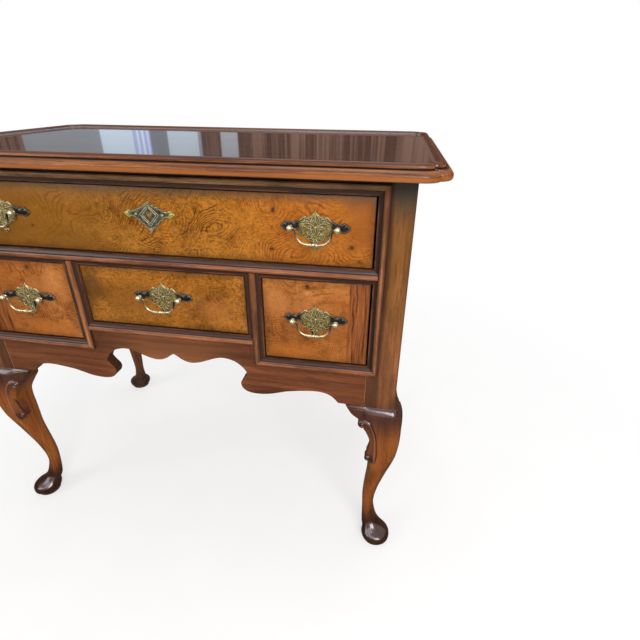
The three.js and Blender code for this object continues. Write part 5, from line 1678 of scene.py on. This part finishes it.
# Name, place, aim and size in metres, power and colour.
LAMPS = [("key", (1.25, -2.3, 2.0), (0.1, -0.1, 0.5), (1.5, 1.2), 58, (1.0, 0.97, 0.93)),
         ("fill", (-2.2, -1.9, 1.7), (0.0, 0, 0.4), (1.4, 1.4), 24, (0.95, 0.97, 1.0)),
         ("overhead", (0.2, 0.4, 2.8), (0.1, 0.1, 0.7), (1.8, 1.8), 26, (1, 1, 1))]

# The photograph's camera, with its place in metres and its angles in radians.
CAMERA_PLACE = (0.3688, -0.8476, 0.8627)
CAMERA_YAW = 0.156
CAMERA_PITCH = 0.485
CAMERA_ROLL = 0.009
FOCAL_PIXELS = 438.1
PHOTO_PIXELS = 640
SENSOR = 36

# The windows that the polished top mirrors: edges across the card in millimetres, and colours.
WINDOWS = [(-1700, -1218, (0.28, 0.31, 0.34)), (-1218, -1023, (0.66, 0.8, 0.94)),
           (-1023, -925, (0.42, 0.54, 0.86)), (-1003, -993, (0.8, 0.9, 1.05)), (-975, -963, (0.8, 0.9, 1.05)),
           (-945, -937, (0.8, 0.9, 1.05)),
           (-925, -828, (0.2, 0.23, 0.26)), (-828, -655, (0.56, 0.66, 0.76)), (-532, -440, (0.42, 0.46, 0.5)),
           (-655, -640, (0.3, 0.32, 0.4))]
# The darker parts of the high window that the knees, beads and feet mirror.
PANES = [(-2200, -1500, (2.6, 2.6, 3.0)), (-1300, -900, (1.6, 1.6, 1.9)), (-500, 230, (3.4, 3.3, 3.9)),
         (640, 1040, (0.9, 0.85, 1.0))]
PANEL_BLUR = 0.006


def sheet(name, start, end, rise):
    """A flat rectangle on the line from start to end."""
    high = [tuple(a + b for a, b in zip(point, rise)) for point in (end, start)]
    shape = bmesh.new()
    added(shape, [start, end, *high], [(0, 1, 2, 3)])
    return from_bmesh(name, shape)


def across_studio(half, y, z):
    return (-half, y, z), (half, y, z)


def glowing(paint, colour):
    return paint.add("Emission", {"Color": colour, "Strength": 1.0}).outputs[0]


def add_stage_piece(piece, paint, surface):
    paint.tree.links.new(surface, paint.tree.nodes["Material Output"].inputs["Surface"])
    piece.data.materials.append(paint.material)


def plain_stage():
    """A pale floor that turns to the plain white of the background away from the piece."""
    paint = Paint("pale_floor", 0.9, 0.1)
    paint.tones(paint.fac(paint.place, 6.0), (0.3, 0.7), ((251, 251, 251), (255, 255, 255)))
    paint.set("Base Color", paint.colour)
    far = paint.vector_math("LENGTH", {0: paint.place})["Value"]
    share = paint.times(paint.between(far, *FLOOR_FADE, 0.6, 1.0), paint.seen_or_mirrored())
    lit, plain = paint.shader.outputs[0], glowing(paint, WHITE)
    joined = paint.add("MixShader", {0: share, 1: lit, 2: plain}).outputs[0]
    floor = sheet("floor", *across_studio(FLOOR_HALF, FLOOR_FRONT, 0), (0, FLOOR_DEPTH, 0))
    add_stage_piece(floor, paint, joined)


def white_world():
    """White for the camera and in reflections, and a softer even light on everything else."""
    world = bpy.data.worlds.new("studio")
    bpy.context.scene.world = world
    world.use_nodes = True
    world.node_tree.nodes.clear()
    nodes = Nodes(world.node_tree)
    dim, bright = [nodes.add("Background", {"Color": WHITE, "Strength": strength}).outputs[0]
                   for strength in (AMBIENT, 1.0)]
    mixed = nodes.add("MixShader", {0: nodes.seen_or_mirrored(), 1: dim, 2: bright}).outputs[0]
    nodes.add("OutputWorld", {"Surface": mixed})


def softbox(name, place, aim, size, power, colour):
    light = bpy.data.lights.new(name, "AREA")
    light.shape = "RECTANGLE"
    light.size, light.size_y = size
    light.energy = power
    light.color = colour
    lamp = linked(name, light)
    lamp.location = place
    lamp.rotation_euler = (Vector(aim) - Vector(place)).to_track_quat("-Z", "Y").to_euler()


def reflection_card(name, start, end, rise, panels=(), tone=(0.05, 0.038, 0.03), streaks=0.0):
    """A card that only polished surfaces see, as the unlit side of a studio, with bright panels as windows.

    A panel is its two edges across, in millimetres, and its colour. Colours are linear.
    """
    card = sheet(name, start, end, rise)
    paint = Paint(name, 0.9, 0.5)
    line = paint.streaks(paint.place, (21, 1, 0.3), 1.0, 4.0, 0.75)
    light = tuple(c * (1 + streaks) for c in tone)
    colour = paint.ramp(line, [(0.42, (*tone, 1)), (0.62, (*light, 1))])
    for left, right, shade in panels:
        inside = paint.math("MINIMUM", paint.between(paint.x, left * MM - PANEL_BLUR, left * MM + PANEL_BLUR),
                            paint.between(paint.x, right * MM + PANEL_BLUR, right * MM - PANEL_BLUR))
        colour = paint.mix(inside, colour, (*shade, 1))
    for ray in ("camera", "diffuse", "shadow", "transmission"):
        setattr(card, f"visible_{ray}", False)
    add_stage_piece(card, paint, glowing(paint, colour))


def add_reflection_cards():
    wall = (0, 0, STUDIO_HEIGHT)
    reflection_card("studio_dark_side", *across_studio(STUDIO_HALF, STUDIO_BACK, 0), wall, WINDOWS,
                    tone=(0.085, 0.052, 0.04), streaks=2.2)
    front = across_studio(STUDIO_HALF, STUDIO_FRONT, 0)
    reflection_card("studio_front", *front, (0, 0, STUDIO_FRONT_HEIGHT))
    for word, side in SIDES:
        x = side * STUDIO_HALF
        reflection_card(f"studio_side_{word}", (x, STUDIO_FRONT, 0), (x, STUDIO_BACK, 0), wall)
    reflection_card("studio_floor", *across_studio(STUDIO_HALF, STUDIO_FRONT, STUDIO_FLOOR),
                    (0, STUDIO_BACK - STUDIO_FRONT, 0), tone=(0.085, 0.065, 0.045))
    reflection_card("studio_window", *across_studio(WINDOW_HALF, WINDOW_FRONT, WINDOW_FOOT), WINDOW_RISE,
                    PANES, tone=(6.4, 6.2, 7.2))


def studio_camera():
    yaw, pitch, roll = CAMERA_YAW, CAMERA_PITCH, CAMERA_ROLL
    ahead = Vector((-sin(yaw) * cos(pitch), cos(yaw) * cos(pitch), -sin(pitch)))
    level = Vector((cos(yaw), sin(yaw), 0))
    above = level.cross(ahead)
    right = cos(roll) * level + sin(roll) * above
    up = cos(roll) * above - sin(roll) * level
    data = bpy.data.cameras.new("camera")
    data.sensor_width = SENSOR
    data.lens = FOCAL_PIXELS / PHOTO_PIXELS * SENSOR
    camera = linked("camera", data)
    columns = Matrix((right, up, -ahead)).transposed()
    camera.matrix_world = Matrix.Translation(CAMERA_PLACE) @ columns.to_4x4()
    bpy.context.scene.camera = camera


plain_stage()
white_world()
for lamp in LAMPS:
    softbox(*lamp)
add_reflection_cards()
studio_camera()
bpy.context.scene.view_settings.view_transform = "Standard"
